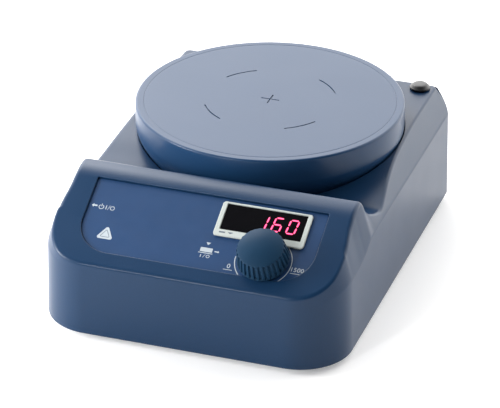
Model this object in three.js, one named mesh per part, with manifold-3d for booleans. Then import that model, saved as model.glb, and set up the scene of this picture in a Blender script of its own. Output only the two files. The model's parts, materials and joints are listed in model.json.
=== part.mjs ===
// Laboratory magnetic stirrer: sloping-console housing, round work plate, rotary/push speed knob,
// LED read-out, and a vertical brushless motor that turns a two-magnet carrier under the plate.
// Millimetres, +Z up, origin on the bench under the middle of the housing, front towards -Y.
import * as THREE from 'three';
import { mergeVertices } from 'three/addons/utils/BufferGeometryUtils.js';
import Module from 'manifold-3d';

const wasm = await Module();
wasm.setup();
const { lerp: mix, smoothstep, clamp, degToRad } = THREE.MathUtils;

// ---------------------------------------------------------------- driving dimensions
const GAP = 0.3;                                   // between pieces that touch

const HOUSING = {
  halfW: 75, halfD: 98, frontR: 25.7, rearR: 5.5,  // plan outline at the bottom edge
  deckCornerR: 3,                                  // plan rounding of the deck's rear corners
  bottom: 3, wall: 3.2,
  draft: Math.tan(degToRad(1.1)),
  rimR: 1.5, flankRimR: 2, deckRimR: 1.2,          // rounding of the upper rim: front, console side, rear
  shoulderZ: 47.7,                                 // lower edge of the rear side chamfers
  chamferSlope: Math.tan(degToRad(60)),
};
const CONSOLE = { slope: degToRad(27.8), surfaceZ: 39.7, labelZ: 38.56 };
const CREST = { y: -43.2, z: 65.45, frontR: 24, rearR: 3, rearSlope: degToRad(52) };

const AXIS = { x: 0, y: 31.7 };                    // motor axis, which is the plate's too
const PLATE = { r: 66, top: 73, inner: 69, lineR: 61.6, markDepth: 0.35 };
const SKIRT = [[61.5, 50.9], [62.3, 52.4], [63.4, 54.2], [64.6, 56.4], [65.5, 58.8], [PLATE.r, 61.6]];
const WELL = { floorZ: 50, floorT: 3.2, gap: 0.6, wall: 2.6, holeR: 46.5 };
const BOSS = { pitchR: 53.2, r: 4, pilotR: 2, clearR: 2.2, count: 3 };

const LABEL = { halfW: 57.2, s0: 9.7, s1: 50.5, cornerR: 17, t: 0.5 };
const RECESS = 0.75;                               // depth of the label's recess
const BEZEL = { x0: 6.3, x1: 50.3, s0: 29.1, s1: 48.3, r: 1.4, top: 1.05, footZ: -3.2 };
const WINDOW = { x0: 8.65, x1: 48, s0: 32.8, s1: 47.4 };
const BEZEL_FOOT = { x0: WINDOW.x0 - 0.9, x1: WINDOW.x1 + 0.9, s0: WINDOW.s0 - 0.9, s1: WINDOW.s1 + 0.5 };
const DISPLAY_BOARD = { x0: -5, x1: 61, s0: 9, s1: 50, z0: -10.8, z1: -9.2 };
const DISPLAY_POSTS = [[-1, 12.5], [57, 12.5], [-1, 46.5], [57, 46.5]];
const DISPLAY_SCREWS = [DISPLAY_POSTS[1], DISPLAY_POSTS[2]];
const DIGITS = { x: 18.7, pitch: 7.65, count: 4, halfW: 2.7, s0: 35.8, s1: 44.4 };
const KNOB = { x: 34.1, s: 19.8, bottom: 1.75, r: 12.25, flutes: 30, fluteDepth: 0.8, hollowR: 9.6 };
const SHAFT = { r: 3, clearR: 3.1, bushR: 3.5, holeR: 3.8 };

const CARRIER = { r: 34, z0: 53.5, z1: 64.6, edge: 0.8, floorZ: 56, magnetR: 11, magnetX: 19.5 };
const MOTOR = { shaftR: 2, boreR: 2.2, bearingR: 6.45, seatR: 6.55, bearingH: 4.9, bearings: [22.6, 39.9] };
const STATOR = { z0: 31, z1: 41, rIn: 8.8, hubR: 12, shoeIn: 19, shoeOut: 21, poles: 6, poleHalfW: 2.2 };
const BRACKET = { halfL: 27, z: 20.5, t: 1.5, footX: 46, legX: 31.5, footZ: 5.1 };

const BASE = { z0: 3.3, z1: 4.8, cornerR: 22, rearR: 4.4 };
const FEET = [
  [-56, -79, 'front_left'],
  [56, -79, 'front_right'],
  [-60, 82, 'rear_left'],
  [60, 82, 'rear_right'],
];
const FOOT = { r: 8.2, top: 3, holeR: 2.1, counterboreR: 3.9, counterboreZ: 1.7 };
const ROD = { x: 59.4, y: 91.4, holeR: 4.2, sleeveR: 7.6, depth: 24, plugR: 4 };
const INLET = { x: -34, z: 27, halfW: 13.5, halfH: 9.8, flangeHalfW: 16.6, flangeHalfH: 12.2 };
const SWITCH = { y: -60, z: 22.5, pivotX: 70.1, rest: degToRad(7) };
const BOARD = { x0: -46, x1: 34, y0: -68, y1: -12, z0: 10.6, z1: 12.2, inset: 4 };
const DECK_Z = 60.5;                               // flat rear part of the deck

const MATERIALS = {                                // colour and roughness
  housing_paint: [0x3d5f8c, 0.5],
  plate_coat: [0x8e9dbb, 0.45],
  label_film: [0x4a6c9c, 0.5],
  knob_plastic: [0x35597f, 0.5],
  bezel_plastic: [0xe6e6de, 0.5],
  window_lens: [0x08080b, 0.15],
  black_plastic: [0x17181a, 0.5],
  rubber: [0x111113, 0.7],
  steel: [0xb9bdc2, 0.35],
  sheet_steel: [0x9fa4aa, 0.45],
  board: [0x1f5a3a, 0.6],
  led_red: [0x3a0d14, 0.4],
  cast_aluminium: [0xa6a9ad, 0.5],
  lamination: [0x6d7073, 0.5],
  copper: [0xb06a34, 0.4],
  magnet: [0x4b4c50, 0.4],
  transformer_pot: [0x22262c, 0.5],
  capacitor_sleeve: [0x23314f, 0.4],
  brass: [0xc8a35a, 0.35],
};

// ---------------------------------------------------------------- geometry helpers
const group = new THREE.Group();
group.name = 'magnetic_stirrer';

function signedVolume(positions, triangles) {
  const [a, b, c] = [new THREE.Vector3(), new THREE.Vector3(), new THREE.Vector3()];
  let total = 0;
  for (let i = 0; i < triangles.length; i += 3) {
    a.fromArray(positions, triangles[i] * 3);
    b.fromArray(positions, triangles[i + 1] * 3);
    c.fromArray(positions, triangles[i + 2] * 3);
    total += a.dot(b.cross(c)) / 6;
  }
  return total;
}

// closed three.js geometry to a solid: shared corners merged, faces turned outwards
function solid(geometry) {
  geometry.deleteAttribute('normal');
  geometry.deleteAttribute('uv');
  const merged = mergeVertices(geometry, 1e-4);
  const positions = Float32Array.from(merged.attributes.position.array);
  const source = merged.index.array;
  const triangles = [];
  for (let i = 0; i < source.length; i += 3) {
    const [a, b, c] = [source[i], source[i + 1], source[i + 2]];
    if (a !== b && b !== c && a !== c) triangles.push(a, b, c);
  }
  if (signedVolume(positions, triangles) < 0) triangles.reverse();
  const triVerts = Uint32Array.from(triangles);
  return new wasm.Manifold(new wasm.Mesh({ numProp: 3, vertProperties: positions, triVerts }));
}

function placed(geometry, matrix) {
  if (matrix) geometry.applyMatrix4(matrix);
  return solid(geometry);
}

function box(x0, x1, y0, y1, z0, z1, matrix) {
  const geometry = new THREE.BoxGeometry(x1 - x0, y1 - y0, z1 - z0);
  return placed(geometry.translate((x0 + x1) / 2, (y0 + y1) / 2, (z0 + z1) / 2), matrix);
}

function cylinder(r, z0, z1, x, y, segments = 32, matrix = null) {
  const geometry = new THREE.CylinderGeometry(r, r, z1 - z0, segments).rotateX(Math.PI / 2);
  return placed(geometry.translate(x, y, (z0 + z1) / 2), matrix);
}

// profile: closed list of [radius, height], turned about a vertical axis at x, y
function revolve(profile, x, y, segments = 48) {
  const points = profile.map(([r, z]) => new THREE.Vector2(r, z));
  if (profile[0][0] > 0) points.push(points[0].clone());
  return solid(new THREE.LatheGeometry(points, segments).rotateX(Math.PI / 2).translate(x, y, 0));
}

function ring(rIn, rOut, z0, z1, x, y, segments = 48) {
  return revolve([[rIn, z0], [rOut, z0], [rOut, z1], [rIn, z1]], x, y, segments);
}

function prism(points, z0, z1, matrix) {
  const shape = new THREE.Shape(points.map(([x, y]) => new THREE.Vector2(x, y)));
  const geometry = new THREE.ExtrudeGeometry(shape, { depth: z1 - z0, bevelEnabled: false });
  return placed(geometry.translate(0, 0, z0), matrix);
}

function meshGeometry(positions, triangles) {
  const geometry = new THREE.BufferGeometry();
  geometry.setAttribute('position', new THREE.Float32BufferAttribute(positions, 3));
  geometry.setIndex(triangles);
  return geometry;
}

// triangles of the bands between rings of n points each, the first ring at index 0
function bands(ringCount, n) {
  const triangles = [];
  for (let k = 0; k + 1 < ringCount; k += 1) {
    for (let i = 0; i < n; i += 1) {
      const [a, b] = [k * n + i, k * n + (i + 1) % n];
      triangles.push(a, b, b + n, a, b + n, a + n);
    }
  }
  return triangles;
}

// solid from a list of closed rings of equal length, each end closed by a fan about its middle
function loft(rings, matrix) {
  const n = rings[0].length;
  const positions = rings.flat(2);
  const triangles = bands(rings.length, n);
  for (const [k, flip] of [[0, true], [rings.length - 1, false]]) {
    const middle = positions.length / 3;
    positions.push(...[0, 1, 2].map((axis) => rings[k].reduce((sum, p) => sum + p[axis] / n, 0)));
    for (let i = 0; i < n; i += 1) {
      const [a, b] = [k * n + i, k * n + (i + 1) % n];
      triangles.push(middle, ...(flip ? [b, a] : [a, b]));
    }
  }
  return placed(meshGeometry(positions, triangles), matrix);
}

// rounded rectangle; radii in the order lower right, upper right, upper left, lower left
function roundedRect(x0, x1, y0, y1, radii, segments = 6) {
  const [a, b, c, d] = radii;
  const corners = [
    [x1 - a, y0 + a, a, -Math.PI / 2],
    [x1 - b, y1 - b, b, 0],
    [x0 + c, y1 - c, c, Math.PI / 2],
    [x0 + d, y0 + d, d, Math.PI],
  ];
  return corners.flatMap(([x, y, r, from]) => Array.from({ length: segments + 1 }, (_, i) => {
    const t = from + (Math.PI / 2) * (i / segments);
    return [x + r * Math.cos(t), y + r * Math.sin(t)];
  }));
}

// local frame standing at x, y and turned about the vertical
function standing(x, y, angle) {
  return new THREE.Matrix4().makeTranslation(x, y, 0).multiply(new THREE.Matrix4().makeRotationZ(angle));
}

// count points on a circle about x, y
function circle(x, y, r, count, from = 0) {
  return Array.from({ length: count }, (_, i) => {
    const a = from + (2 * Math.PI * i) / count;
    return [x + r * Math.cos(a), y + r * Math.sin(a)];
  });
}

// screw whose head lies between headFrom and headTo and whose shank runs on from headTo to tip
function screw(headR, headFrom, headTo, shankR, tip, x, y, matrix) {
  const root = headTo - Math.sign(headTo - headFrom) * 0.05;
  const head = cylinder(headR, Math.min(headFrom, headTo), Math.max(headFrom, headTo), x, y, 14, matrix);
  return head.add(cylinder(shankR, Math.min(root, tip), Math.max(root, tip), x, y, 10, matrix));
}

function add(name, manifold, material) {
  const { numProp, numVert, vertProperties, triVerts } = manifold.getMesh();
  const positions = [];
  for (let i = 0; i < numVert; i += 1) positions.push(...vertProperties.slice(i * numProp, i * numProp + 3));
  const geometry = meshGeometry(positions, Array.from(triVerts));
  geometry.computeVertexNormals();
  const [color, roughness] = MATERIALS[material];
  const finish = new THREE.MeshStandardMaterial({ name: material, color, roughness, flatShading: true });
  const node = new THREE.Mesh(geometry, finish);
  node.name = name;
  group.add(node);
}

// console frame: local x across, local y up the slope from the front wall, local z out of the label
const TILT = new THREE.Matrix4().makeTranslation(0, -HOUSING.halfD, CONSOLE.labelZ)
  .multiply(new THREE.Matrix4().makeRotationX(CONSOLE.slope));
const KNOB_AT = TILT.clone().multiply(new THREE.Matrix4().makeTranslation(KNOB.x, KNOB.s, 0));

// ---------------------------------------------------------------- housing surface
// height of the upper surface along the length; it is the same across the whole width
const CREST_FRONT_Y = CREST.y - CREST.frontR * Math.sin(CONSOLE.slope);
const CREST_REAR_Y = CREST.y + CREST.rearR * Math.sin(CREST.rearSlope);
const CREST_REAR_Z = CREST.z - CREST.rearR * (1 - Math.cos(CREST.rearSlope));
const VALLEY_Y = -34.4;                            // foot of the crest's steep rear face
const VALLEY_Z = CREST_REAR_Z - (VALLEY_Y - CREST_REAR_Y) * Math.tan(CREST.rearSlope);
// valley and deck: points of a smooth curve, [y, z]
const DECK = [
  [VALLEY_Y, VALLEY_Z], [-30.2, 53.2], [-25.5, 51.45], [-20.6, 50.75], [-13.5, 52.1], [1.6, 55.7],
  [17.4, 58.3], [38.8, 59.8], [62, DECK_Z], [110, DECK_Z],
];
const DECK_SLOPES = DECK.map((point, i) => {
  if (i === 0) return -Math.tan(CREST.rearSlope);
  if (i >= DECK.length - 2) return 0;
  return (DECK[i + 1][1] - DECK[i - 1][1]) / (DECK[i + 1][0] - DECK[i - 1][0]);
});

function deckZ(y) {
  const i = Math.max(1, DECK.findIndex((point) => point[0] >= y));
  const h = DECK[i][0] - DECK[i - 1][0];
  const t = (y - DECK[i - 1][0]) / h;
  const [z0, z1] = [DECK[i - 1][1], DECK[i][1]];
  const [m0, m1] = [DECK_SLOPES[i - 1] * h, DECK_SLOPES[i] * h];
  return (2 * t ** 3 - 3 * t ** 2 + 1) * z0 + (t ** 3 - 2 * t ** 2 + t) * m0
    + (3 * t ** 2 - 2 * t ** 3) * z1 + (t ** 3 - t ** 2) * m1;
}

function topZ(y) {
  if (y <= CREST_FRONT_Y) return CONSOLE.surfaceZ + (y + HOUSING.halfD) * Math.tan(CONSOLE.slope);
  if (y <= CREST.y) return CREST.z - CREST.frontR + Math.sqrt(CREST.frontR ** 2 - (y - CREST.y) ** 2);
  if (y <= CREST_REAR_Y) return CREST.z - CREST.rearR + Math.sqrt(CREST.rearR ** 2 - (y - CREST.y) ** 2);
  if (y <= VALLEY_Y) return CREST_REAR_Z - (y - CREST_REAR_Y) * Math.tan(CREST.rearSlope);
  return deckZ(y);
}

// the same surface moved inwards by t, for the hollow
function innerZ(y, t) {
  if (t === 0) return topZ(y);
  let z = Infinity;
  for (let k = -12; k <= 12; k += 1) {
    const d = t * k / 12;
    z = Math.min(z, topZ(y + d) - Math.sqrt(Math.max(0, t * t - d * d)));
  }
  return z;
}

// console flank from the front corner to the valley: [y, height of its lower edge, half width at its top]
const FLANK = [
  [-76, 40.8, 70.8], [-66.6, 41, 70.1], [-59, 41.7, 69], [-52, 42.9, 68.7], [-48.5, 44.2, 68.8],
  [-42.5, 46.7, 68.8], [-36, 47.2, 68.9],
];

function flank(y) {
  const i = Math.max(1, FLANK.findIndex((point, k) => point[0] >= y || k === FLANK.length - 1));
  const [before, after] = [FLANK[i - 1], FLANK[i]];
  const t = clamp((y - before[0]) / (after[0] - before[0]), 0, 1);
  return [mix(before[1], after[1], t), mix(before[2], after[2], t)];
}

const wallInset = (z) => (z - HOUSING.bottom) * HOUSING.draft;
const lowering = (t) => (t ? 0.8 : 0);             // how far the hollow's flank lies below the outer one
const narrowing = (t) => (t ? 0.4 : 0);            // and how far further in

// one upright line of the right-hand wall: bottom edge, lower edge of the flank, and three points
// that round the rim between the flank and the upper surface
function wallLine(t, zBottom, base, direction, lowerZ, rim, rounding) {
  const wallAt = (z) => [base[0] - direction[0] * wallInset(z), base[1] - direction[1] * wallInset(z), z];
  const lower = wallAt(lowerZ);
  const fall = lower.map((v, k) => v - rim[k]);
  const share = Math.min(0.85, rounding / Math.hypot(...fall));
  const below = rim.map((v, k) => v + fall[k] * share);
  const topY = rim[1] - direction[1] * rounding;
  const above = [rim[0] - direction[0] * rounding, topY, innerZ(topY, t)];
  const middle = below.map((v, k) => 0.25 * v + 0.5 * rim[k] + 0.25 * above[k]);
  return [wallAt(zBottom), lower, below, middle, above];
}

function frontCornerLines(t, zBottom) {
  const radius = HOUSING.frontR - t;
  const centre = [HOUSING.halfW - t - radius, -HOUSING.halfD + t + radius];
  const steps = t ? 5 : 8;
  return Array.from({ length: steps + 1 }, (_, i) => {
    const a = -Math.PI / 2 + (Math.PI / 2) * (i / steps);
    const direction = [Math.cos(a), Math.sin(a)];
    const sideways = smoothstep(i / steps, 0.3, 1);
    const reach = radius - mix(0.7, 4.2, sideways) - narrowing(t) * sideways;
    const rim = [centre[0] + reach * direction[0], centre[1] + reach * direction[1]];
    rim.push(innerZ(rim[1], t));
    const lowerZ = mix(Math.min(37, rim[2] - 2.7), 40.8 - lowering(t), sideways);
    const base = [centre[0] + radius * direction[0], centre[1] + radius * direction[1]];
    const rounding = mix(HOUSING.rimR, HOUSING.flankRimR, sideways);
    return wallLine(t, zBottom, base, direction, lowerZ, rim, rounding);
  });
}

// places along the side, closer together where the upper surface bends
const STATIONS = [
  -68, -63, -58.5, CREST_FRONT_Y, -51, -48, -45.5, CREST.y, -42.3, -41.6, CREST_REAR_Y, -38.5, -36.5,
  VALLEY_Y, -32.4, -30.2, -28, -25.5, -23, -20.6, -17.5, -13.5, -6.4, 1.6, 8.3, 17.4, 26.7, 38.8, 50, 62, 90,
];

function sideLines(t, zBottom) {
  const halfW = HOUSING.halfW - t;
  const last = STATIONS.length - 1;
  const places = STATIONS.filter((y, i) => t === 0 || i % 2 === 0 || i === last);
  return places.map((y) => {
    const top = innerZ(y, t);
    const [flankZ, flankX] = flank(y);
    const behind = smoothstep(y, -40, -29);
    const z = mix(flankZ, HOUSING.shoulderZ, behind) - lowering(t);
    const wallX = halfW - wallInset(z);
    const chamferX = wallX - (top - z) / HOUSING.chamferSlope;
    const consoleX = Math.max(flankX - t - narrowing(t), wallX - (top - z) / 2);
    const rim = [mix(consoleX, chamferX, behind), y, top];
    const rounding = mix(HOUSING.flankRimR, HOUSING.deckRimR, behind);
    return wallLine(t, zBottom, [halfW, y], [1, 0], Math.min(z, top - 0.6), rim, rounding);
  });
}

function rearCornerLines(t, zBottom) {
  const [halfW, radius] = [HOUSING.halfW - t, HOUSING.rearR - t];
  const centre = [halfW - radius, HOUSING.halfD - t - radius];
  const top = innerZ(centre[1], t);
  const shoulder = HOUSING.shoulderZ - lowering(t);
  const rimX = halfW - wallInset(shoulder) - (top - shoulder) / HOUSING.chamferSlope;
  const rimR = Math.max(1, HOUSING.deckCornerR - t);
  const rimY = centre[1] + radius - wallInset(top) - rimR;
  const steps = 8;
  const turnSteps = 5;                             // the other steps run along the rear wall
  return Array.from({ length: steps }, (_, k) => {
    const i = k + 1;
    const a = (Math.PI / 2) * Math.min(1, i / turnSteps);
    const direction = [Math.cos(a), Math.sin(a)];
    const along = Math.max(0, i - turnSteps) / (steps - turnSteps);
    const turnX = centre[0] - along * (centre[0] - rimX);
    // the chamfer's lower edge climbs as the corner turns away from the side
    let lowerZ = shoulder;
    for (let round = 0; round < 4; round += 1) {
      const x = turnX + (radius - wallInset(lowerZ)) * direction[0];
      lowerZ = Math.min(shoulder + (halfW - wallInset(shoulder) - x) * HOUSING.chamferSlope, top - 0.9);
    }
    const rimAngle = (Math.PI / 2) * (i / steps);
    const rim = [rimX - rimR + rimR * Math.cos(rimAngle), rimY + rimR * Math.sin(rimAngle), top];
    const base = [turnX + radius * direction[0], centre[1] + radius * direction[1]];
    return wallLine(t, zBottom, base, direction, lowerZ, rim, HOUSING.deckRimR);
  });
}

// solid outer body for t = 0, or the hollow inside walls of thickness t
function housingBody(t, zBottom) {
  const lines = [...frontCornerLines(t, zBottom), ...sideLines(t, zBottom), ...rearCornerLines(t, zBottom)];
  const rows = lines[0].length;
  const n = 2 * lines.length;
  const positions = [];
  for (let row = 0; row < rows; row += 1) {
    for (const line of lines) positions.push(...line[row]);
    for (const line of [...lines].reverse()) positions.push(-line[row][0], line[row][1], line[row][2]);
  }
  const triangles = bands(rows, n);
  for (const row of [0, rows - 1]) {
    for (let i = 0; i + 1 < lines.length; i += 1) {
      const [a, b] = [row * n + i, row * n + i + 1];
      const [c, d] = [row * n + n - 2 - i, row * n + n - 1 - i];
      triangles.push(...(row === 0 ? [a, c, b, a, d, c] : [a, b, c, a, c, d]));
    }
  }
  return solid(meshGeometry(positions, triangles));
}

// ---------------------------------------------------------------- upper housing
// the plate's skirt grown outwards, from the axis at z0 up to above the deck
function wellProfile(grow, z0) {
  const wall = SKIRT.map(([r, z]) => [r + grow, z - 0.3]).filter(([, z]) => z > z0);
  return [[0, z0], [wall[0][0] - 0.3, z0], ...wall, [PLATE.r + grow, 75], [0, 75]];
}

const BOSSES = circle(AXIS.x, AXIS.y, BOSS.pitchR, BOSS.count, Math.PI / 2);

function labelOutline(inset) {
  const { halfW, s0, s1, cornerR } = LABEL;
  const radii = [cornerR - inset, 0.4, 0.4, cornerR - inset];
  return roundedRect(-halfW + inset, halfW - inset, s0 + inset, s1 - inset, radii, 8);
}

// box through the panel around the read-out frame's foot, grown by grow
function readoutHole(grow, z0, z1) {
  const { x0, x1, s0, s1 } = BEZEL_FOOT;
  return box(x0 - grow, x1 + grow, s0 - grow, s1 + grow, z0, z1, TILT);
}

// solid stock inside the hollow: well cup, rod sleeve, screw bosses, posts, pads behind switch and inlet
function housingFittings() {
  let stock = revolve(wellProfile(WELL.gap + WELL.wall, WELL.floorZ - WELL.floorT), AXIS.x, AXIS.y)
    .add(cylinder(ROD.sleeveR, ROD.depth + 6, 61, ROD.x, ROD.y));
  for (const [x, y] of FEET) {
    // the rear bosses run up to the deck; the front ones are short, each tied to its corner by a rib
    stock = stock.add(cylinder(4.4, 5.1, y > 0 ? 62 : 24, x, y, 20));
    const toCorner = standing(x, y, Math.atan2(-1, Math.sign(x)));
    if (y < 0) stock = stock.add(box(0, 18, -1.2, 1.2, 8, 24, toCorner));
  }
  for (const [x, s] of DISPLAY_POSTS) {
    stock = stock.add(cylinder(2.6, -8.9, -0.8, x, s, 20, TILT));
  }
  return stock
    .add(box(-76, -67.6, SWITCH.y - 15, SWITCH.y + 15, SWITCH.z - 11.5, SWITCH.z + 11.5))
    .add(box(INLET.x - 20, INLET.x + 20, 91.6, 99, INLET.z - 15, INLET.z + 15));
}

function upperHousing() {
  const outer = housingBody(0, HOUSING.bottom);
  const hollow = housingBody(HOUSING.wall, HOUSING.bottom - 4);
  let housing = outer.subtract(hollow).add(housingFittings().intersect(outer))
    .subtract(revolve(wellProfile(WELL.gap, WELL.floorZ), AXIS.x, AXIS.y, 56))
    .subtract(cylinder(WELL.holeR, 40, 55, AXIS.x, AXIS.y, 40))
    .subtract(cylinder(ROD.holeR, 61 - ROD.depth, 70, ROD.x, ROD.y));
  for (const [x, y] of FEET) housing = housing.subtract(cylinder(1.75, 4, 17, x, y, 16));
  for (const [x, s] of DISPLAY_SCREWS) housing = housing.subtract(cylinder(1.1, -10, -2.6, x, s, 16, TILT));
  for (const [x, y] of BOSSES) housing = housing.subtract(cylinder(BOSS.clearR, 44, 52, x, y, 20));
  // console: recess for the label, hole for the read-out, hole for the speed control's bush
  housing = housing
    .subtract(prism(labelOutline(0), -RECESS, 12, TILT))
    .subtract(readoutHole(GAP, -6, 2))
    .subtract(cylinder(SHAFT.holeR, -6, 2, 0, 0, 24, KNOB_AT));
  // stepped pockets: power switch in the left wall, mains inlet in the rear wall
  const pocket = (x0, x1, y0, y1, z, halfH) => box(x0, x1, y0, y1, z - halfH, z + halfH);
  const bodyHalfW = INLET.halfW + GAP;
  return housing
    .subtract(pocket(-78, -70.1, SWITCH.y - 12.3, SWITCH.y + 12.3, SWITCH.z, 8.8))
    .subtract(pocket(-78, -60, SWITCH.y - 10, SWITCH.y + 10, SWITCH.z, 6.6))
    .subtract(pocket(INLET.x - 17, INLET.x + 17, 94.6, 100, INLET.z, 12.6))
    .subtract(pocket(INLET.x - bodyHalfW, INLET.x + bodyHalfW, 85, 100, INLET.z, INLET.halfH + GAP));
}

add('upper_housing', upperHousing(), 'housing_paint');

// ---------------------------------------------------------------- base, feet and their screws
const BOARD_POSTS = [
  [BOARD.x0 + BOARD.inset, BOARD.y0 + BOARD.inset],
  [BOARD.x1 - BOARD.inset, BOARD.y0 + BOARD.inset],
  [BOARD.x0 + BOARD.inset, BOARD.y1 - BOARD.inset],
  [BOARD.x1 - BOARD.inset, BOARD.y1 - BOARD.inset],
];
const BOARD_SCREWS = [BOARD_POSTS[0], BOARD_POSTS[3]];
const BRACKET_SCREWS = [-17, 17].flatMap((dy) => [[-40, AXIS.y + dy], [40, AXIS.y + dy]]);

function basePlate() {
  const halfW = HOUSING.halfW - HOUSING.wall - 0.4;
  const halfD = HOUSING.halfD - HOUSING.wall - 0.4;
  const radii = [BASE.cornerR, BASE.rearR, BASE.rearR, BASE.cornerR];
  let base = prism(roundedRect(-halfW, halfW, -halfD, halfD, radii, 8), BASE.z0, BASE.z1);
  for (const [x, y] of FEET) base = base.subtract(cylinder(2.2, 0, 8, x, y, 20));
  // two rows of cooling slots
  for (const x of [-57, 57]) {
    for (let y = 8; y <= 40; y += 8) base = base.subtract(box(x - 7, x + 7, y, y + 3, 0, 8));
  }
  for (const [x, y] of BOARD_POSTS) base = base.add(cylinder(3, 4.4, BOARD.z0 - GAP, x, y, 14));
  for (const [x, y] of BOARD_SCREWS) base = base.subtract(cylinder(1.25, 5.6, 20, x, y, 16));
  for (const [x, y] of BRACKET_SCREWS) base = base.subtract(cylinder(1.75, 0, 8, x, y, 16));
  return base;
}

const FOOT_PROFILE = [
  [FOOT.holeR, FOOT.counterboreZ], [FOOT.counterboreR, FOOT.counterboreZ], [FOOT.counterboreR, 0],
  [FOOT.r, 0], [FOOT.r, FOOT.top], [FOOT.holeR, FOOT.top],
];

add('base_plate', basePlate(), 'sheet_steel');
for (const [x, y, where] of FEET) {
  add(`foot_${where}`, revolve(FOOT_PROFILE, x, y, 24), 'rubber');
  add(`foot_screw_${where}`, screw(3.4, 0.5, 1.4, 1.6, 15, x, y), 'steel');
}

// ---------------------------------------------------------------- work plate
// flat top with one fine line inside its edge, tapered skirt, hollow underside
const PLATE_PROFILE = [
  [0, PLATE.top], [PLATE.lineR, PLATE.top], [PLATE.lineR + 0.1, PLATE.top - PLATE.markDepth],
  [PLATE.lineR + 0.4, PLATE.top - PLATE.markDepth], [PLATE.lineR + 0.5, PLATE.top], [64.9, PLATE.top],
  [65.65, PLATE.top - 0.35], [PLATE.r, PLATE.top - 1.2], ...[...SKIRT].reverse(), [58.6, 50.9],
  [60.6, 54.8], [62.4, 59.4], [62.8, 66.5], [60, PLATE.inner], [0, PLATE.inner],
];

// one arc of the broken ring that is engraved round the plate's centre
function engravedArc(middle) {
  const angles = [-15, -10, -5, 0, 5, 10, 15].map((a) => middle + degToRad(a));
  const point = (r, a) => [AXIS.x + r * Math.cos(a), AXIS.y + r * Math.sin(a)];
  const outline = [...angles.map((a) => point(32.75, a)), ...angles.reverse().map((a) => point(32.25, a))];
  return prism(outline, PLATE.top - PLATE.markDepth, PLATE.top + 1);
}

function workPlate() {
  let plate = revolve(PLATE_PROFILE, AXIS.x, AXIS.y, 60);
  for (const [x, y] of BOSSES) {
    plate = plate.add(cylinder(BOSS.r, 50.4, 69.5, x, y, 24));
    plate = plate.subtract(cylinder(BOSS.pilotR, 49, 63, x, y, 16));
  }
  for (const a of [0, Math.PI / 2]) {
    const bar = [-4.6, 4.6, -0.25, 0.25, PLATE.top - PLATE.markDepth, PLATE.top + 1];
    plate = plate.subtract(box(...bar, standing(AXIS.x, AXIS.y, a)));
  }
  for (let q = 0; q < 4; q += 1) plate = plate.subtract(engravedArc(Math.PI / 4 + (q * Math.PI) / 2));
  return plate;
}

add('work_plate', workPlate(), 'plate_coat');
add('plate_gasket', ring(58.7, 61.4, WELL.floorZ + 0.2, 50.7, AXIS.x, AXIS.y, 44), 'rubber');
BOSSES.forEach(([x, y], i) => add(`plate_screw_${i + 1}`, screw(3.6, 43.8, 46.5, 1.9, 61, x, y), 'steel'));

// ---------------------------------------------------------------- control panel
const label = prism(labelOutline(0.25), -LABEL.t, 0, TILT)
  .subtract(readoutHole(GAP, -2, 2))
  .subtract(cylinder(SHAFT.holeR, -2, 2, 0, 0, 24, KNOB_AT));
add('control_label', label, 'label_film');

const bezelOutline = roundedRect(BEZEL.x0, BEZEL.x1, BEZEL.s0, BEZEL.s1, Array(4).fill(BEZEL.r), 4);
const bezel = prism(bezelOutline, 0.25, BEZEL.top, TILT)
  .add(readoutHole(0, BEZEL.footZ, 0.6))
  .subtract(box(WINDOW.x0, WINDOW.x1, WINDOW.s0, WINDOW.s1, -5, 3, TILT));
add('display_bezel', bezel, 'bezel_plastic');
const lens = box(WINDOW.x0 + 0.2, WINDOW.x1 - 0.2, WINDOW.s0 + 0.2, WINDOW.s1 - 0.2, -0.6, 0.6, TILT);
add('display_window', lens, 'window_lens');

function displayBoard() {
  const { x0, x1, s0, s1, z0, z1 } = DISPLAY_BOARD;
  let board = box(x0, x1, s0, s1, z0, z1, TILT);
  for (const [x, s] of DISPLAY_SCREWS) board = board.subtract(cylinder(1.6, -12, -8, x, s, 16, TILT));
  return board;
}

add('display_board', displayBoard(), 'board');
DISPLAY_SCREWS.forEach(([x, s], i) => {
  add(`display_board_screw_${i + 1}`, screw(2.7, -13, -11.1, 1, -4.5, x, s, TILT), 'steel');
});

// four-digit display block with a shallow well for each digit
function ledDisplay() {
  let block = box(14.9, 45.5, 33.2, 46.9, -8.9, -1.7, TILT);
  for (let i = 0; i < DIGITS.count; i += 1) {
    const x = DIGITS.x + i * DIGITS.pitch;
    block = block.subtract(box(x - DIGITS.halfW, x + DIGITS.halfW, DIGITS.s0, DIGITS.s1, -2, 0, TILT));
  }
  return block;
}

add('led_display', ledDisplay(), 'led_red');

// rotary speed control with a push switch under its shaft
const speedPot = box(-6, 6, -6.3, 6.3, -8.9, -2.5, KNOB_AT)
  .add(cylinder(SHAFT.bushR, -2.6, 2.6, 0, 0, 24, KNOB_AT))
  .subtract(cylinder(SHAFT.clearR, -6.3, 4, 0, 0, 24, KNOB_AT));
const potNut = cylinder(5.5, 0.25, 1.9, 0, 0, 6, KNOB_AT)
  .subtract(cylinder(SHAFT.bushR + 0.1, -1, 4, 0, 0, 24, KNOB_AT));
add('speed_pot_body', speedPot, 'black_plastic');
add('speed_pot_nut', potNut, 'steel');
add('push_switch_plunger', cylinder(2.9, -4.7, -3.5, 0, 0, 24, KNOB_AT), 'black_plastic');
add('speed_pot_shaft', cylinder(SHAFT.r, -3.2, 9.6, 0, 0, 24, KNOB_AT), 'steel');

// knob: fluted conical grip and plain domed cap, [height, radius, flute depth], hollow underside
const KNOB_LEVELS = [
  [KNOB.bottom, KNOB.r, KNOB.fluteDepth], [9.6, 11.5, KNOB.fluteDepth], [10.7, 11.3, 0], [11.4, 10.9, 0],
  [12.1, 9.6, 0], [12.7, 7, 0], [13.1, 3.6, 0],
];

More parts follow.
